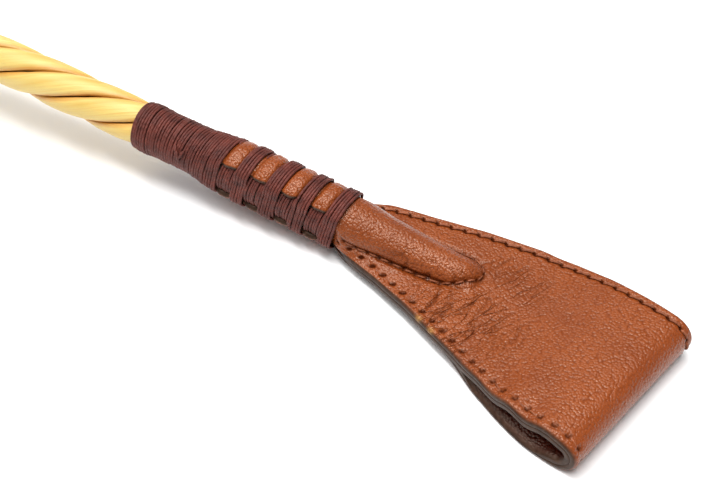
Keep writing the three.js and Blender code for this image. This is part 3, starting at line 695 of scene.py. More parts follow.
_near, _far = softened(NEAR_EDGE, 2.5), softened(FAR_EDGE, 2.0)


def near_edge(x):
    """Side of the keeper's near edge at a distance along it."""
    return np.interp(x, *_near)


def far_edge(x):
    """Side of the keeper's far edge at a distance along it."""
    return np.interp(x, *_far)


def fold_path():
    """The strip's outside line seen from the side: lower leaf, fold, upper leaf, as (along, height)."""
    outside = FOLD_INNER + LEAF
    centre_x, centre_z = KEEPER_LENGTH - outside, outside
    lower = np.stack([np.linspace(-1.5, centre_x - 0.3, 300), np.full(300, 0.02)], 1)
    turn = np.linspace(-np.pi / 2, np.pi / 2 + 0.02, 60)
    arc = np.stack([centre_x + outside * np.cos(turn), centre_z + outside * np.sin(turn)], 1)
    t = np.linspace(0, 1, 120)[1:]
    start_x, top_z = centre_x - 0.6, centre_z + outside
    x = start_x + (FOLD_START - start_x) * t
    upper = np.stack([x, top_z + (CLOSED - top_z) * (smooth(t) * 0.82 + 0.18 * t)], 1)
    flat = np.stack([np.linspace(FOLD_START - 0.3, -1.5, 200), np.full(200, CLOSED)], 1)
    line = np.concatenate([lower, arc, upper, flat])
    run = run_lengths(line)
    path = at_runs(np.arange(0, run[-1], 0.3), run, line)
    for k in range(2):
        path[7:-7, k] = np.convolve(path[:, k], hann(15), mode="valid")
    return path


PATH = fold_path()
FOLD_INDEX = int(np.argmax(PATH[:, 0]))
PATH_RUN = run_lengths(PATH)


def shaft_centre(x):
    """Side of the shaft's line in the keeper's frame."""
    return -KEEPER_SIDE - x * math.tan(KEEPER_SKEW)


def back_at(x, y):
    """How far back along the shaft a point of the keeper's frame lies."""
    return back_of(keeper(x, y, 0)[..., 0])


def bulge_radius(back):
    """Radius of the leather's outside round the core, closing over its front end."""
    body = np.interp(back, [0, 10, 20, 25, 31], [4.2, 4.6, 5.2, 5.85, 6.62])
    nose = np.sqrt(np.clip(1 - np.clip((1.5 - back) / 5.0, 0, 1) ** 2.2, 0, 1))
    return body * nose


def crease_height(back):
    """Height at which the near side of the bulge turns out into the flat leaf."""
    return CLOSED + 4.0 * np.clip((back - 9) / 20, 0, 1.1) ** 2


WING_EDGE = 5.15
NEAR_WING, BULGE_ROUND, BULGE_FOOT, FAR_WING = 34, 44, 20, 44
ACROSS = NEAR_WING + BULGE_ROUND + BULGE_FOOT + FAR_WING - 2


def bulge_section(centre, back, near_y):
    """The leather over the core: steep on the near side, with a sloping foot on the far side."""
    count = BULGE_ROUND + BULGE_FOOT
    axis = float(axis_height(max(back, -2.0)))
    radius = float(bulge_radius(back))
    flat_y = centre + np.linspace(-4.2, 5.4, count)
    if radius < 0.3:
        return flat_y, np.full(count, CLOSED)
    near_angle = math.acos(np.clip((float(crease_height(back)) - axis) / radius, -0.05, 0.95))
    reach = (centre - near_y - 0.5) * math.cos(KEEPER_SKEW) / radius
    near_angle = min(near_angle, math.asin(min(reach, 1.0)))
    far_angle = min(math.radians(50), near_angle * 0.6)
    a = np.linspace(-near_angle, far_angle, BULGE_ROUND)
    y = centre + radius * np.sin(a) / math.cos(KEEPER_SKEW)
    z = axis + radius * np.cos(a)
    u = np.linspace(0, 1, BULGE_FOOT + 1)[1:]
    foot = radius * (1 - math.sin(far_angle)) + 1.3
    y = np.concatenate([y, y[-1] + foot * u])
    z = np.concatenate([z, CLOSED + (z[-1] - CLOSED) * (1 - u) ** 1.7])
    flat = smooth((2.0 - back) / 5.5)
    return y * (1 - flat) + flat_y * flat, np.maximum(z, CLOSED)


def upper_section(x):
    """Side and height of the upper leaf's outside at one station: wing, bulge over the core, wing."""
    centre = shaft_centre(x)
    back = float(back_at(x, centre))
    near_y = float(near_edge(x))
    y, z = bulge_section(centre, back, near_y)
    wing_low = CLOSED + (WING_EDGE - CLOSED) * smooth(back / 14)
    near_t, far_t = np.linspace(0, 1, NEAR_WING), np.linspace(0, 1, FAR_WING)
    far_y = max(float(far_edge(x)), y[-1] + 0.4)
    near_wing_y = near_y + (y[0] - near_y) * near_t
    near_wing_z = wing_low + (z[0] - wing_low) * near_t ** 1.6
    far_wing_y = y[-1] + (far_y - y[-1]) * far_t
    far_wing_z = wing_low + (z[-1] - wing_low) * (1 - far_t) ** 2.4
    return (np.concatenate([near_wing_y[:-1], y, far_wing_y[1:]]),
            np.concatenate([near_wing_z[:-1], z, far_wing_z[1:]]))


def fold_shear(x, spread):
    """The fold stands a little farther out on its far side."""
    return 1.3 * smooth((x - 45) / 24) * spread


def strip_surface():
    """The strip's outside as an (s, t, 3) grid in the keeper frame, before fine detail."""
    rows = []
    for i, (x, z) in enumerate(PATH):
        base_y, base_z = upper_section(min(x, FOLD_OPEN))
        near_y, far_y = near_edge(x), far_edge(x)
        spread = (base_y - base_y[0]) / (base_y[-1] - base_y[0])
        if i > FOLD_INDEX:
            y = near_y + (far_y - near_y) * spread
            lift = (base_z - CLOSED) * (1 - smooth((x - 36) / 8))
        else:
            tuck = 0.35 * smooth((x - 50) / 8) * smooth((KEEPER_LENGTH - 1 - x) / 6)
            inset = 1.3 * smooth((46 - x) / 14) - tuck
            y = near_y + inset + (far_y + 0.3 * inset - near_y - inset) * spread
            lift = 2.1 * smooth((back_at(x, y) - 20) / 9) * bell((y - shaft_centre(x)) / 5.5)
        rows.append(np.stack([x + fold_shear(x, spread), y, z + lift], 1))
    return np.array(rows)


def surface_normals(grid):
    """Unit normals of an (s, t, 3) grid."""
    return unit(np.cross(np.gradient(grid, axis=0), np.gradient(grid, axis=1)))


BASE = strip_surface()
NORMAL = surface_normals(BASE)
if NORMAL[FOLD_INDEX, ACROSS // 2, 0] < 0:
    NORMAL = -NORMAL

ROW_INSET = 1.9
STITCH_PITCH = 3.2


def row_columns(side):
    """For each station, the fractional column that lies ROW_INSET in from that edge."""
    inward = BASE if side < 0 else BASE[:, ::-1]
    columns = np.array([np.interp(ROW_INSET, run_lengths(row), np.arange(ACROSS)) for row in inward])
    return columns if side < 0 else ACROSS - 1 - columns


def sample(grid, i, j):
    """Bilinear sample of a grid at fractional indices."""
    i = np.clip(np.asarray(i, float), 0, grid.shape[0] - 1.001)
    j = np.clip(np.asarray(j, float), 0, grid.shape[1] - 1.001)
    i0, j0 = i.astype(int), j.astype(int)
    fi, fj = (i - i0)[..., None], (j - j0)[..., None]
    return ((grid[i0, j0] * (1 - fj) + grid[i0, j0 + 1] * fj) * (1 - fi)
            + (grid[i0 + 1, j0] * (1 - fj) + grid[i0 + 1, j0 + 1] * fj) * fi)


def stitch_row(side):
    """Hole positions of one edge row as fractional grid indices, evenly spaced along the row."""
    columns = row_columns(side)
    index = np.arange(len(BASE), dtype=float)
    run = run_lengths(sample(BASE, index, columns))
    start, end = STITCH_PITCH, run[-1] - STITCH_PITCH
    count = int((end - start) / STITCH_PITCH)
    at = start + (end - start) * np.arange(count + 1) / count
    i = np.interp(at, run, index)
    return i, np.interp(i, index, columns)


def core_seam():
    """Hole positions of the U-shaped seam on the upper leaf, and the line that they lie on."""
    near, far = NEAR_WING - 1.5, NEAR_WING + BULGE_ROUND + BULGE_FOOT - 1.5
    top = range(FOLD_INDEX + 1, len(BASE))
    front = min(top, key=lambda i: abs(back_at(PATH[i, 0], shaft_centre(PATH[i, 0])) + 3.2))
    bend = 22
    legs = np.array([i for i in top if i > front + bend and PATH[i, 0] > 2.6], float)
    a = np.linspace(0, np.pi, 40)
    index = np.concatenate([legs[::-1], front + bend - bend * np.sin(a), legs])
    across = (near + far) / 2 - (far - near) / 2 * np.cos(a)
    column = np.concatenate([0 * legs + near, across, 0 * legs + far])
    run = run_lengths(sample(BASE, index, column))
    at = np.linspace(0.6, run[-1] - 0.6, int(run[-1] / 2.9) + 1)
    return np.interp(at, run, index), np.interp(at, run, column), index, column


ROWS = {side: stitch_row(side) for side in (-1, 1)}
SEAM_I, SEAM_J, SEAM_LINE_I, SEAM_LINE_J = core_seam()


def dent(depth, grid, points, amount, reach):
    """Lowers depth round each point."""
    for p in points:
        low, high = p - 3 * reach, p + 3 * reach
        hit = np.all((grid > low) & (grid < high), axis=2)
        if hit.any():
            d2 = ((grid[hit] - p) ** 2).sum(1)
            depth[hit] -= amount * np.exp(-d2 / reach ** 2)


def line_distance(grid, line):
    """Distance from each grid point to a polyline, cut off at 3 mm."""
    best = np.full(grid.shape[:2], 3.0)
    for p in line:
        hit = np.all(np.abs(grid - p) < 3.0, axis=2)
        if hit.any():
            best[hit] = np.minimum(best[hit], np.linalg.norm(grid[hit] - p, axis=1))
    return best


def lateral_clear(lateral, back):
    """0 on the bulge over the core, 1 away from it."""
    return np.maximum(smooth((np.abs(lateral) - 4.6) / 1.2), smooth((-back - 2.5) / 1.5))


def stitch_holes(side, relief):
    """Sinks one edge row with its slanted awl holes into the relief, and returns the holes' mask."""
    i, j = ROWS[side]
    line_i = np.linspace(i[0], i[-1], 900)
    away = line_distance(BASE, sample(BASE, line_i, np.interp(line_i, i, j)))
    relief -= (0.10 if side < 0 else 0.20) * bell(away / 0.5)
    mark = np.zeros(relief.shape)
    for slit in np.linspace(-0.6, 0.6, 7):
        holes = sample(BASE, i, j) + np.array([slit * 0.85, -slit * side * 0.6, 0])
        width = 0.36 - 0.24 * abs(slit)
        dent(relief, BASE, holes, 0.13, width + 0.05)
        dent(mark, BASE, holes, 1.0, width)
    return np.clip(-mark, 0, 1)


def fold_lines(relief):
    """Cuts the creases, with a raised lip beside each, into the relief, and returns their mask."""
    upper = (np.arange(len(BASE)) > FOLD_INDEX)[:, None]
    folds = np.zeros(relief.shape)
    t = np.linspace(0, 1, 90)
    for k, (start, end, depth) in enumerate(CREASES):
        start, end = np.array(start, float), np.array(end, float)
        across = unit(np.array([-(end - start)[1], (end - start)[0]]))
        wave = 0.55 * noise2(t * 4 + k * 3.1, t * 0 + k, 35) + 0.22 * line_noise(t * 15, k, 36)
        line = start + (end - start) * t[:, None] + across * (wave * np.sin(np.pi * t))[:, None]
        best, taper = np.full(relief.shape, 9.0), np.zeros(relief.shape)
        for q, p in zip(t, line):
            d = np.hypot(BASE[..., 0] - p[0], BASE[..., 1] - p[1])
            closer = d < best
            best[closer] = d[closer]
            taper[closer] = np.sin(np.pi * min(max(q, 0.02), 0.98)) ** 0.6
        cut = bell(best / 0.25) * taper * depth * upper
        relief += -0.36 * cut + 0.06 * bell((best - 0.8) / 0.5) * taper * depth * upper
        folds = np.maximum(folds, cut)
    return folds


def detail():
    """Fine relief along the normal, the mask of painted shade in the stitch holes, sunk seam, pucker valleys
    and creases, and the fold-colour and wrinkle masks.
    """
    shape = BASE.shape[:2]
    x, y = BASE[..., 0], BASE[..., 1]
    upper = (np.arange(shape[0]) > FOLD_INDEX)[:, None]
    s = PATH_RUN[:, None] * np.ones(shape)
    relief = 0.05 * fbm(s * 0.16, y * 0.16, 31, 3)
    # The painted shade gathers the stitch holes, then the sunk seam and its holes, the pucker valleys and
    # the creases.
    recess_shade = np.maximum(stitch_holes(-1, relief), stitch_holes(1, relief))
    away = line_distance(BASE, sample(BASE, SEAM_LINE_I, SEAM_LINE_J))
    mark = np.zeros(shape)
    dent(mark, BASE, sample(BASE, SEAM_I, SEAM_J), 1.0, 0.45)
    relief += 0.25 * mark - 0.42 * bell(away / 0.6)
    recess_shade = np.maximum(np.maximum(recess_shade, 0.55 * bell(away / 0.42)), -mark)
    back = back_at(x, y)
    lateral = keeper(x, y, 0)[..., 1]
    pucker = bell((lateral + 3.6) / 1.5) * smooth((19 - back) / 6) * smooth((back + 2) / 3) * upper
    valley = 1 - smooth(np.abs(fbm(back * 0.27, (lateral + 0.16 * back) * 1.25, 33, 2)) / 0.28)
    relief -= 0.20 * pucker * valley
    recess_shade = np.maximum(recess_shade, 0.6 * pucker * valley)
    recess_shade = np.maximum(recess_shade, 0.75 * fold_lines(relief))
    deep = bell((s - PATH_RUN[FOLD_INDEX] - 1.5) / 5.0)
    near_part = bell((x - 33) / 10) * smooth((3 - y) / 5)
    far_part = 0.55 * bell((x - 38) / 8) * smooth((y - 1) / 4) * smooth((15 - y) / 5)
    wrinkle = np.clip(1.25 * np.maximum(near_part, far_part), 0, 1) * upper * lateral_clear(lateral, back)
    return relief, np.clip(recess_shade, 0, 1), deep, wrinkle


def fan_creases():
    """Transverse creases that spread from the core's end toward both edges."""
    out = []
    for k in range(15):
        x = 25.5 + 1.55 * k + RNG.uniform(-0.6, 0.6)
        start = (x, RNG.uniform(-4.5, 2.0) if k > 3 else -3.6)
        length = RNG.uniform(6.5, 12.0) * (1 - 0.02 * k)
        end_y = max(start[1] - length, float(near_edge(x)) + 1.4)
        out.append((start, (x + RNG.uniform(0.2, 2.6), end_y), (1.0 - 0.045 * k) * RNG.uniform(0.55, 1.0)))
    for k in range(11):
        x = 27.5 + 1.3 * k + RNG.uniform(-0.6, 0.6)
        start = (x, RNG.uniform(2.5, 6.0))
        end = (x + RNG.uniform(1.0, 4.0), min(start[1] + RNG.uniform(4.5, 9.5), float(far_edge(x)) - 2.5))
        out.append((start, end, (0.7 - 0.05 * k) * RNG.uniform(0.45, 0.85)))
    for k in range(7):
        x = 34 + 2.0 * k + RNG.uniform(-0.8, 0.8)
        y = RNG.uniform(-9, 3)
        out.append(((x, y), (x + RNG.uniform(-0.5, 1.5), y - RNG.uniform(2.5, 4.5)), RNG.uniform(0.3, 0.5)))
    return out


CREASES = fan_creases()
RELIEF, RECESS_SHADE, DEEP, WRINKLE = detail()
SCUFFS = (27.4, 31.2)


def edge_wave(i):
    """Slow up-and-down of the near edge where the fold stands open."""
    s = PATH_RUN[i] - PATH_RUN[FOLD_INDEX]
    return 0.5 * np.sin(s * 0.68 + 0.8) * bell((s - 17) / 12)


def layer(name, outside, inside, step, inner_step):
    """One leather layer of the strip, between two depths below the outside surface."""
    n = len(BASE)
    finished = outside == 0
    columns = np.unique(np.append(np.arange(0, ACROSS, step), ACROSS - 1))
    inner_columns = np.unique(np.append(np.arange(0, ACROSS, inner_step), ACROSS - 1))[::-1]
    wave = edge_wave(np.arange(n))[:, None] * np.exp(-np.arange(ACROSS) / 9.0)[None]
    along = PATH[:, :1]
    upper = (np.arange(n) > FOLD_INDEX)[:, None]
    lower = (np.arange(n) < FOLD_INDEX)[:, None]
    skived = lower * smooth((along - 40) / 6) * smooth((66.5 - along) / 5)
    edge_near = np.linalg.norm(BASE - BASE[:, :1], axis=2)
    edge = np.minimum(edge_near, np.linalg.norm(BASE - BASE[:, -1:], axis=2))[:, columns]
    thin = 1 - 0.62 * skived * np.clip(1 - edge_near / 5.0, 0, 1)
    height = wave - outside * thin
    if finished:
        height = height + RELIEF
    top = (BASE + NORMAL * height[..., None])[:, columns]
    if finished:
        top = top - NORMAL[:, columns] * rounded_drop(edge, 0.5)[..., None]
    low = (BASE + NORMAL * (wave - inside * thin)[..., None])[:, inner_columns]
    wall = np.linspace(0, 1, 5)[1:-1]
    far_wall = top[:, -1:] + (low[:, :1] - top[:, -1:]) * wall[None, :, None]
    near_wall = low[:, -1:] + (top[:, :1] - low[:, -1:]) * wall[None, :, None]
    far_wall[..., 1] += 0.10 * np.sin(np.pi * wall)
    near_wall[..., 1] -= 0.10 * np.sin(np.pi * wall)
    rings = np.concatenate([top, far_wall, low, near_wall], 1)

    def mask(outer, walls=0.0, inner=0.0):
        """One value for each point of the rings."""
        parts = ((outer, columns), (walls, wall), (inner, inner_columns), (walls, wall))
        return np.concatenate([np.broadcast_to(values, (n, len(places))) for values, places in parts], 1)

    painted = smooth((0.42 - edge) / 0.22) if finished else smooth((0.2 - edge) / 0.1)
    ends = np.isin(inner_columns, (0, ACROSS - 1))[None]
    scuff = 0
    for mark in SCUFFS if finished else ():
        away = np.hypot(rings[..., 0] - mark, (rings[..., 1] - near_edge(mark) - 0.25) * 1.6)
        scuff = np.maximum(scuff, upper * bell(away / 0.75))
    # Only the finished outside carries the painted shade of the creases, holes and seams.
    masks = {"paint": mask(painted, 1.0, ends), "recess_shade": mask(RECESS_SHADE[:, columns] * finished),
             "deep": mask(DEEP[:, columns]), "wrinkle": mask(WRINKLE[:, columns] * finished),
             "scuff": np.broadcast_to(scuff, rings.shape[:2])}
    uv = np.stack([PATH_RUN[:, None] + 0.32 * rings[..., 1], rings[..., 1]], -1)
    return ring_tube(name, keeper(*np.moveaxis(rings, 2, 0)), uv, masks)


def keeper_piece(obj, material, replaced, parts):
    """Dresses a piece of the keeper in place of the named parts of the CAD and bakes its placement into its
    mesh.
    """
    dress(obj, material, replaces=[f"{replaced}{part}" for part in parts])
    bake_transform(obj)


PARTS = ("_root_top", "_root_bottom", "_flap")
keeper_piece(layer("keeper_outer_strip", 0.0, LAYER + 0.02, 1, 7), KEEPER_LEATHER,
             "keeper_outer", PARTS)
keeper_piece(layer("keeper_lining_strip", LAYER, LEAF, 7, 3), SHADED_KEEPER_LINING,
             "keeper_lining", PARTS)


def stitch_paths(i, j, lift, slant, span):
    """Threads between neighbouring holes, dipping into them at both ends, and their ups."""
    paths, ups = [], []
    t = np.linspace(-0.5, 0.5, 9) * span
    for i_from, i_to, j_from, j_to in zip(i[:-1], i[1:], j[:-1], j[1:]):
        at_i, at_j = i_from + (i_to - i_from) * (t + 0.5), j_from + (j_to - j_from) * (t + 0.5)
        at, normal = sample(BASE, at_i, at_j), sample(NORMAL, at_i, at_j)
        across = np.cross(normal, unit(at[-1] - at[0]))
        height = lift - 0.36 * np.abs(2 * t / span) ** 3
        paths.append(keeper(*(at + normal * height[:, None] + across * slant * t[:, None]).T))
        ups.append(keeper(*(at + normal).T) - keeper(*at.T))
    return paths, ups


STITCHING = (
    ("keeper_edge_stitches_near", ROWS[-1], -0.16, -0.55, 0.66, 0.20, "edge_stitching_near", PARTS),
    ("keeper_edge_stitches_far", ROWS[1], 0.15, 0.55, 0.80, 0.29, "edge_stitching_far", PARTS),
    ("keeper_core_seam_stitches", (SEAM_I, SEAM_J), -0.16, 0.2, 0.70, 0.22, "core_seam_stitching", ("",)))
for name, holes, lift, slant, span, radius, replaced, parts in STITCHING:
    paths, ups = stitch_paths(*holes, lift, slant, span)
    row = joined_tubes(name, paths, radius, 8, 0.85, ups)
    keeper_piece(row, KEEPER_THREAD, replaced, parts)


# ---------------------------------------------------------------- grip
GRIP_OUTER = 11.0
GRIP_STITCH_PITCH = 3.1
COIL_THREAD = 0.4
COIL_PITCH = 2.03 * COIL_THREAD


def lathe(name, profile):
    """Turned piece about the shaft from (back, radius) points, subdivided so that it bows."""
    dense = [profile[0]]
    for a, b in zip(profile[:-1], profile[1:]):
        count = max(1, int(abs(b[0] - a[0]) / 6))
        for k in range(1, count + 1):
            dense.append((a[0] + (b[0] - a[0]) * k / count, a[1] + (b[1] - a[1]) * k / count))
    backs, radii = np.array(dense).T
    a = one_turn(96)[None]
    uv = np.stack(np.broadcast_arrays(backs[:, None], a * radii.mean()), -1)
    return ring_tube(name, around(backs[:, None], radii[:, None], a), uv)


def rounded(points, reach, steps=4):
    """The same profile with its corners rounded."""
    out = [points[0]]
    for before, here, after in zip(points[:-2], points[1:-1], points[2:]):
        here, before, after = map(np.array, (here, before, after))
        to_before, to_after = np.linalg.norm(before - here), np.linalg.norm(after - here)
        r = min(reach, to_before * 0.45, to_after * 0.45)
        p, q = here + (before - here) / to_before * r, here + (after - here) / to_after * r
        for t in np.linspace(0, 1, steps + 1):
            out.append(tuple((1 - t) ** 2 * p + 2 * t * (1 - t) * here + t ** 2 * q))
    out.append(points[-1])
    return out


def grip_cover():
    """Leather sewn round the grip, with its seam on the far side."""
    backs = np.arange(GRIP_BACK, GRIP_REAR + 0.01, 0.75)
    back, phi = np.meshgrid(backs, one_turn(192), indexing="ij")
    seam = np.abs((phi - np.pi / 2 + np.pi) % (2 * np.pi) - np.pi) * GRIP_OUTER
    ridge = 0.32 * bell((seam - 0.75) / 0.7) - 0.5 * bell(seam / 0.22)
    pulls = 0.07 * np.cos(2 * np.pi * back / GRIP_STITCH_PITCH) * bell((seam - 2.2) / 1.2)
    swell = 0.25 * np.sin(np.pi * (back - GRIP_BACK) / (GRIP_REAR - GRIP_BACK)) ** 2
    r = GRIP_OUTER - 0.25 + 0.05 * fbm(back * 0.12, phi * 4, 71, 3) + ridge + pulls + swell
    for end in (GRIP_BACK, GRIP_REAR):
        r = r - 1.2 * smooth((1.2 - np.abs(back - end)) / 1.2) ** 2
    zero = np.zeros_like(r)
    # The sunk seam carries painted shade.
    masks = {"paint": zero, "recess_shade": bell(seam / 0.25), "deep": zero}
    return ring_tube("grip_cover_leather", around(back, r, phi), None, masks)


dress(grip_cover(), GRIP_LEATHER, "crop", ["grip_leather", "grip_core"])



def grip_stitches():
    """Crossed stitches over the grip's seam."""
    t = np.linspace(-1, 1, 9)
    radius = GRIP_OUTER + 0.42 + 0.18 * (1 - t ** 2) - 0.5 * np.abs(t) ** 6
    paths = [around(back + lean * t * 1.15, radius, np.pi / 2 + t * 1.9 / GRIP_OUTER)
             for back in np.arange(GRIP_BACK + 9.5, GRIP_REAR - 9.5, GRIP_STITCH_PITCH) for lean in (-1, 1)]
    return joined_tubes("grip_seam_cross_stitches", paths, 0.30, 8, 0.9, [(0.0, 1.0, 0.0)] * len(paths))


dress(grip_stitches(), GRIP_THREAD, "crop", ["grip_seam_stitching"])


def coil(name, front, seed):
    """One thread wound side by side round the end of the grip."""
    turns = (7.0 - 2 * COIL_THREAD) / COIL_PITCH
    theta = np.linspace(0, 2 * np.pi * turns, int(turns * 90))
    back = front + COIL_THREAD + theta / (2 * np.pi) * COIL_PITCH + 0.05 * line_noise(theta * 0.8, 0, seed)
    path = around(back, GRIP_OUTER + COIL_THREAD + 0.03 * line_noise(theta * 0.5, 4, seed + 1), theta)
    return ring_tube(name, *thread_tube(path, COIL_THREAD, 8, 0.95, path - bow(back, 0, 0)))


for label, front, seed in (("front", GRIP_BACK + 1, 81), ("rear", GRIP_REAR - 8, 85)):
    dress(coil(f"grip_whipping_{label}_thread", front, seed), WAXED_THREAD, "crop",
          [f"grip_whipping_{label}"])

COLLAR_CORNERS = ((0, 6.6), (0, 7.5), (1.5, 7.9), (2.3, 8.7), (6.6, 10.4), (7.2, 10.1), (7.9, 11.1),
                  (9.4, 11.25), (10, 10.9), (10.2, 6.7))
collar_profile = rounded([(COLLAR_BACK + along, radius) for along, radius in COLLAR_CORNERS], 0.35)
dress(lathe("grip_collar_turned", collar_profile), BRASS, "crop", ["grip_collar"])

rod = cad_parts["spine_rod"]
rod.data.materials.clear()
rod.data.materials.append(plain_fibre_material())

CAP_REAR = 577.0
SLOT_FLOOR = 570.6
SLOT_HALF_WIDTH = 1.9
SLOT_HALF_HEIGHT = 6.3
RIVET_BACK = 573.0


def butt_cap():
    """Turned cap with rounded shoulders and a slot in its rear face for the strap."""
    front = GRIP_REAR + 0.3
    corners = [(front, 6.0), (front, 12.0), (front + 2, 12.7), (front + 6, 13.0), (RIVET_BACK, 12.4),
               (575.7, 10.6), (CAP_REAR, 8.0), (CAP_REAR, 0.05)]
    profile = np.array(rounded(corners, 1.6, 8))
    run = run_lengths(profile)
    fine = at_runs(np.append(np.arange(0, run[-1], 0.2), run[-1]), run, profile)
    back, radius = fine[:, :1], fine[:, 1:]
    a = one_turn(240)[None]
    side, up = radius * np.sin(a), radius * np.cos(a)
    inside = (smooth((SLOT_HALF_WIDTH + 0.1 - np.abs(side)) / 0.2)
              * smooth((SLOT_HALF_HEIGHT + 0.1 - np.abs(up)) / 0.2))
    back = back - inside * np.clip(back - SLOT_FLOOR, 0, None)
    return ring_tube("butt_cap_turned", bow(back, side, up))


def loop_rivet():
    """Cross pin through the cap and the strap's ends, with a domed head on each side."""
    head = [(12.95, 0.3), (12.9, 0.8), (12.7, 1.3), (12.4, 1.6), (12.1, 1.6), (12.0, 1.2)]
    profile = np.array(head + [(-side, r) for side, r in head[::-1]])
    a = one_turn(32)[None]
    side, radius = profile[:, :1], profile[:, 1:]
    rings = bow(RIVET_BACK + radius * np.cos(a), side, radius * np.sin(a))
    return ring_tube("loop_rivet_domed", rings)


dress(butt_cap(), BRASS, "crop", ["butt_cap"])
dress(loop_rivet(), BRASS, "crop", ["loop_rivet"])

bead_profile = rounded([(566.0, 12.7), (566.0, 13.15), (568.2, 13.15), (568.2, 12.7), (567.1, 12.5)], 0.3)
dress(lathe("butt_cap_bead", bead_profile), BRASS, "crop")

# ---------------------------------------------------------------- wrist loop
LOOP_PIVOT = 578.2
LOOP_LENGTH = 185.0
LOOP_HALF = 30.0
LOOP_THICK = 1.6
LOOP_WIDTH = 12.0
LOOP_ROW = LOOP_WIDTH / 2 - 1.7
LOOP_FREE = 1.9
HELD_END = 571.1
LOOP_DROOP = math.radians(1.85)
PLY = 0.95
_pivot = bow(LOOP_PIVOT, 0, 0)


def loop_half(t):
    """Half of the loop's opening at a share of its length."""
    opening = np.sin(np.pi * np.minimum(1, t / 0.62) / 2) ** 1.6
    closing = np.where(t < 0.62, 1, np.sqrt(np.clip(1 - ((t - 0.62) / 0.38) ** 2, 0, 1)))
    return PLY + (LOOP_HALF - 1) * opening * closing


def strap_line():
    """The strap's middle line seen from above: from its near held end, round the loop, to its far one."""
    start = LOOP_PIVOT + LOOP_FREE
    t = np.sin(np.pi / 2 * np.linspace(0, 1, 400)) ** 1.15
    half = loop_half(t)
    half[-1] = 0
    held = np.linspace(HELD_END, start, 40)[:-1]
    back = np.concatenate([held, start + (LOOP_LENGTH - LOOP_FREE) * t])
    half = np.concatenate([np.full(len(held), PLY), half])
    line = np.stack([np.concatenate([back, back[::-1][1:]]), np.concatenate([-half, half[::-1][1:]])], 1)
    run = run_lengths(line)
    s = np.arange(0, run[-1], 0.8)
    return at_runs(s, run, line), s


STRAP, STRAP_RUN = strap_line()
STRAP_OUT = unit(np.gradient(STRAP, axis=0))[:, ::-1] * (1, -1)


def strap_point(back, side, height):
    """The held ends follow the cap, and the loop droops from the pivot to the floor."""
    fixed = bow(back, side, height)
    over = back - LOOP_PIVOT
    x = _pivot[0] - over * math.cos(LOOP_DROOP) - height * math.sin(LOOP_DROOP)
    z = _pivot[2] - over * math.sin(LOOP_DROOP) + height * math.cos(LOOP_DROOP)
    loose = np.stack([x, side + 0 * x, z], -1)
    w = smooth((back - (LOOP_PIVOT - 2)) / 6)[..., None]
    return fixed * (1 - w) + loose * w


def strap():
    """The strap on edge: two faces with a sunk stitch row near each edge, and rounded painted edges."""
    corner, thick = 0.35, LOOP_THICK / 2
    flat = np.linspace(corner - LOOP_WIDTH / 2, LOOP_WIDTH / 2 - corner, 33)
    turn = np.linspace(0, np.pi, 7)[1:-1]
    edge_h, edge_t = flat[-1] + corner * np.sin(turn), thick * np.cos(turn)
    h = np.concatenate([flat, edge_h, -flat, -edge_h])
    t = np.concatenate([0 * flat + thick, edge_t, 0 * flat - thick, -edge_t])
    paint = np.concatenate([0 * flat, 1 + 0 * turn, 0 * flat, 1 + 0 * turn])
    row = bell((np.abs(h) - LOOP_ROW) / 0.35) * (1 - paint)
    hole = np.clip(np.cos(2 * np.pi * STRAP_RUN[:, None] / STITCH_PITCH), 0, 1) ** 6
    thickness = t - np.sign(t) * row * (0.10 + 0.18 * hole)
    line = STRAP[:, None] + STRAP_OUT[:, None] * thickness[..., None]
    # The stitch holes carry painted shade.
    masks = {"paint": np.broadcast_to(paint, thickness.shape), "recess_shade": row * hole,
             "deep": np.zeros(thickness.shape)}
    return ring_tube("wrist_loop_strap", strap_point(line[..., 0], line[..., 1], h), None, masks)


def loop_stitches():
    """Short threads along both edges of both faces of the strap."""
    t = np.linspace(-1, 1, 7)
    paths = []
    for face in (-1, 1):
        for height in (-LOOP_ROW, LOOP_ROW):
            for start in np.arange(4 * STITCH_PITCH, STRAP_RUN[-1] - 15.9, STITCH_PITCH):
                at = start + STITCH_PITCH / 2 + 1.15 * t
                lift = face * (LOOP_THICK / 2 + 0.04 - 0.22 * np.abs(t) ** 3)
                line = at_runs(at, STRAP_RUN, STRAP) + at_runs(at, STRAP_RUN, STRAP_OUT) * lift[:, None]
                paths.append(strap_point(line[:, 0], line[:, 1], height))
    return joined_tubes("wrist_loop_stitches", paths, 0.24, 6, 1.0, [(0.0, 0.0, 1.0)] * len(paths))


for piece, material, slot, replaced in (
        (strap(), GRIP_LEATHER, "loop_leather", ["wrist_loop", "loop_end_near", "loop_end_far"]),
        (loop_stitches(), GRIP_THREAD, "grip_thread", [])):
    dress(piece, material, replaces=replaced)
    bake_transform(piece)

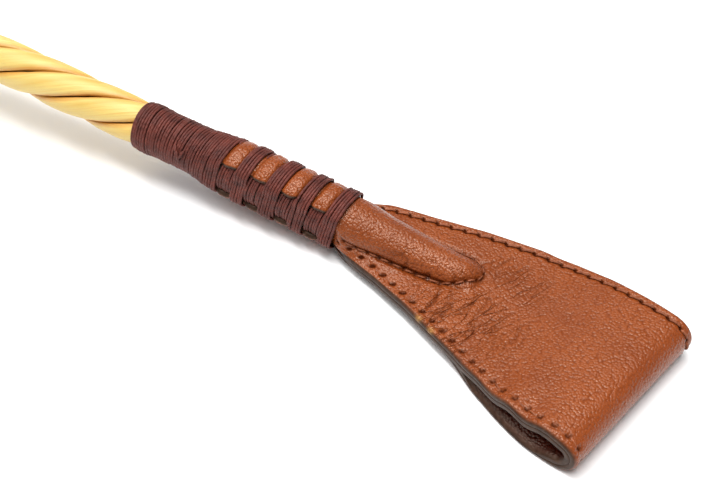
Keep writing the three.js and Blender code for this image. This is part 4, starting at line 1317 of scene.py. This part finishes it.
# ---------------------------------------------------------------- floor, light, camera
def white_floor():
    """A wide pale floor that glows beyond the object, so that it meets the background without an edge."""
    mesh = bpy.data.meshes.new("floor")
    sides = ((-1, -1), (1, -1), (1, 1), (-1, 1))
    mesh.from_pydata([(x * FLOOR_HALF, y * FLOOR_HALF, FLOOR_HEIGHT) for x, y in sides], [], [(0, 1, 2, 3)])
    floor = bpy.data.objects.new("floor", mesh)
    bpy.context.scene.collection.objects.link(floor)
    n = Nodes("floor_white")
    colour = n.grey(n.noise(n.place, 30, 2, 0.5), [(0.3, 0.93), (0.7, 0.95)])
    n.finish(colour, 0.9, None, Specular_IOR_Level=0.0, Emission_Color=(1, 1, 1, 1))
    reach = n.add("ShaderNodeVectorMath", operation="LENGTH")
    n.feed(reach.inputs[0], n.place)
    spill = n.add("ShaderNodeMapRange", From_Min=0.5, From_Max=2.2, To_Min=0.0, To_Max=0.8)
    n.feed(spill.inputs["Value"], reach.outputs["Value"])
    n.feed(n.shader.inputs["Emission Strength"], spill.outputs["Result"])
    floor.data.materials.append(n.material)


def studio_world():
    """Soft light that grows toward the top of the sky; the camera itself sees plain white."""
    world = bpy.data.worlds.new("studio")
    bpy.context.scene.world = world
    world.use_nodes = True
    nodes, link = world.node_tree.nodes, world.node_tree.links.new
    split, rise = nodes.new("ShaderNodeSeparateXYZ"), nodes.new("ShaderNodeMapRange")
    for key, value in (("From Min", 0.0), ("To Min", HORIZON_LIGHT), ("To Max", ZENITH_LIGHT)):
        rise.inputs[key].default_value = value
    sky, seen = nodes["Background"], nodes.new("ShaderNodeBackground")
    either = nodes.new("ShaderNodeMixShader")
    sky.inputs["Color"].default_value = seen.inputs["Color"].default_value = (1, 1, 1, 1)
    link(nodes.new("ShaderNodeTexCoord").outputs["Generated"], split.inputs[0])
    link(split.outputs["Z"], rise.inputs["Value"])
    link(rise.outputs["Result"], sky.inputs["Strength"])
    link(nodes.new("ShaderNodeLightPath").outputs["Is Camera Ray"], either.inputs["Fac"])
    link(sky.outputs[0], either.inputs[1])
    link(seen.outputs[0], either.inputs[2])
    link(either.outputs[0], nodes["World Output"].inputs["Surface"])


FLOOR_HALF, FLOOR_HEIGHT = 6, -0.0001
HORIZON_LIGHT, ZENITH_LIGHT = 0.18, 0.34
white_floor()
studio_world()

CAM_PLACE = np.array([109.05, -122.96, 176.57])
CAM_ELEVATION = math.radians(47.74)
CAM_TURN = math.radians(41.82)
CAM_SENSOR, CAM_LENS = 36.0, 53.0


def keeper_direction(v):
    """A direction of the keeper's frame in the CAD's frame."""
    c, s = math.cos(KEEPER_SKEW), math.sin(KEEPER_SKEW)
    return Vector((v[0] * c - v[1] * s, v[0] * s + v[1] * c, v[2]))


def add_camera():
    """Places the camera, and returns its right and its level forward directions."""
    right = keeper_direction((math.cos(CAM_TURN), math.sin(CAM_TURN), 0))
    level = keeper_direction((-math.sin(CAM_TURN), math.cos(CAM_TURN), 0))
    forward = math.cos(CAM_ELEVATION) * level - math.sin(CAM_ELEVATION) * Vector((0, 0, 1))
    up = right.cross(forward)
    data = bpy.data.cameras.new("camera")
    data.sensor_width, data.lens = CAM_SENSOR, CAM_LENS
    data.clip_start, data.clip_end = 0.01, 20
    camera = bpy.data.objects.new("camera", data)
    bpy.context.scene.collection.objects.link(camera)
    place = Vector(to_row(keeper(*CAM_PLACE)))
    camera.matrix_world = Matrix.Translation(place) @ Matrix((right, up, -forward)).transposed().to_4x4()
    bpy.context.scene.camera = camera
    return right, level


RIGHT, LEVEL = add_camera()
FOCUS = Vector(to_row(keeper(25, 0, 0)))


def area_light(name, offset, size, power):
    """A soft rectangle of light aimed at the keeper, offset to the camera's right, away from it and up."""
    data = bpy.data.lights.new(name, "AREA")
    data.shape = "RECTANGLE"
    data.size, data.size_y = size
    data.energy = power
    light = bpy.data.objects.new(name, data)
    bpy.context.scene.collection.objects.link(light)
    light.location = FOCUS + offset[0] * RIGHT + offset[1] * LEVEL + Vector((0, 0, offset[2]))
    light.rotation_euler = (FOCUS - light.location).to_track_quat("-Z", "Y").to_euler()
    return light


area_light("key", (-0.30, 0.12, 1.2), (1.5, 1.3), 19)
area_light("strip", (-0.15, -0.10, 1.2), (0.9, 0.18), 10)

scene = bpy.context.scene
scene.view_settings.view_transform = "Standard"
scene.view_settings.look = "None"
scene.view_settings.exposure = 0.0
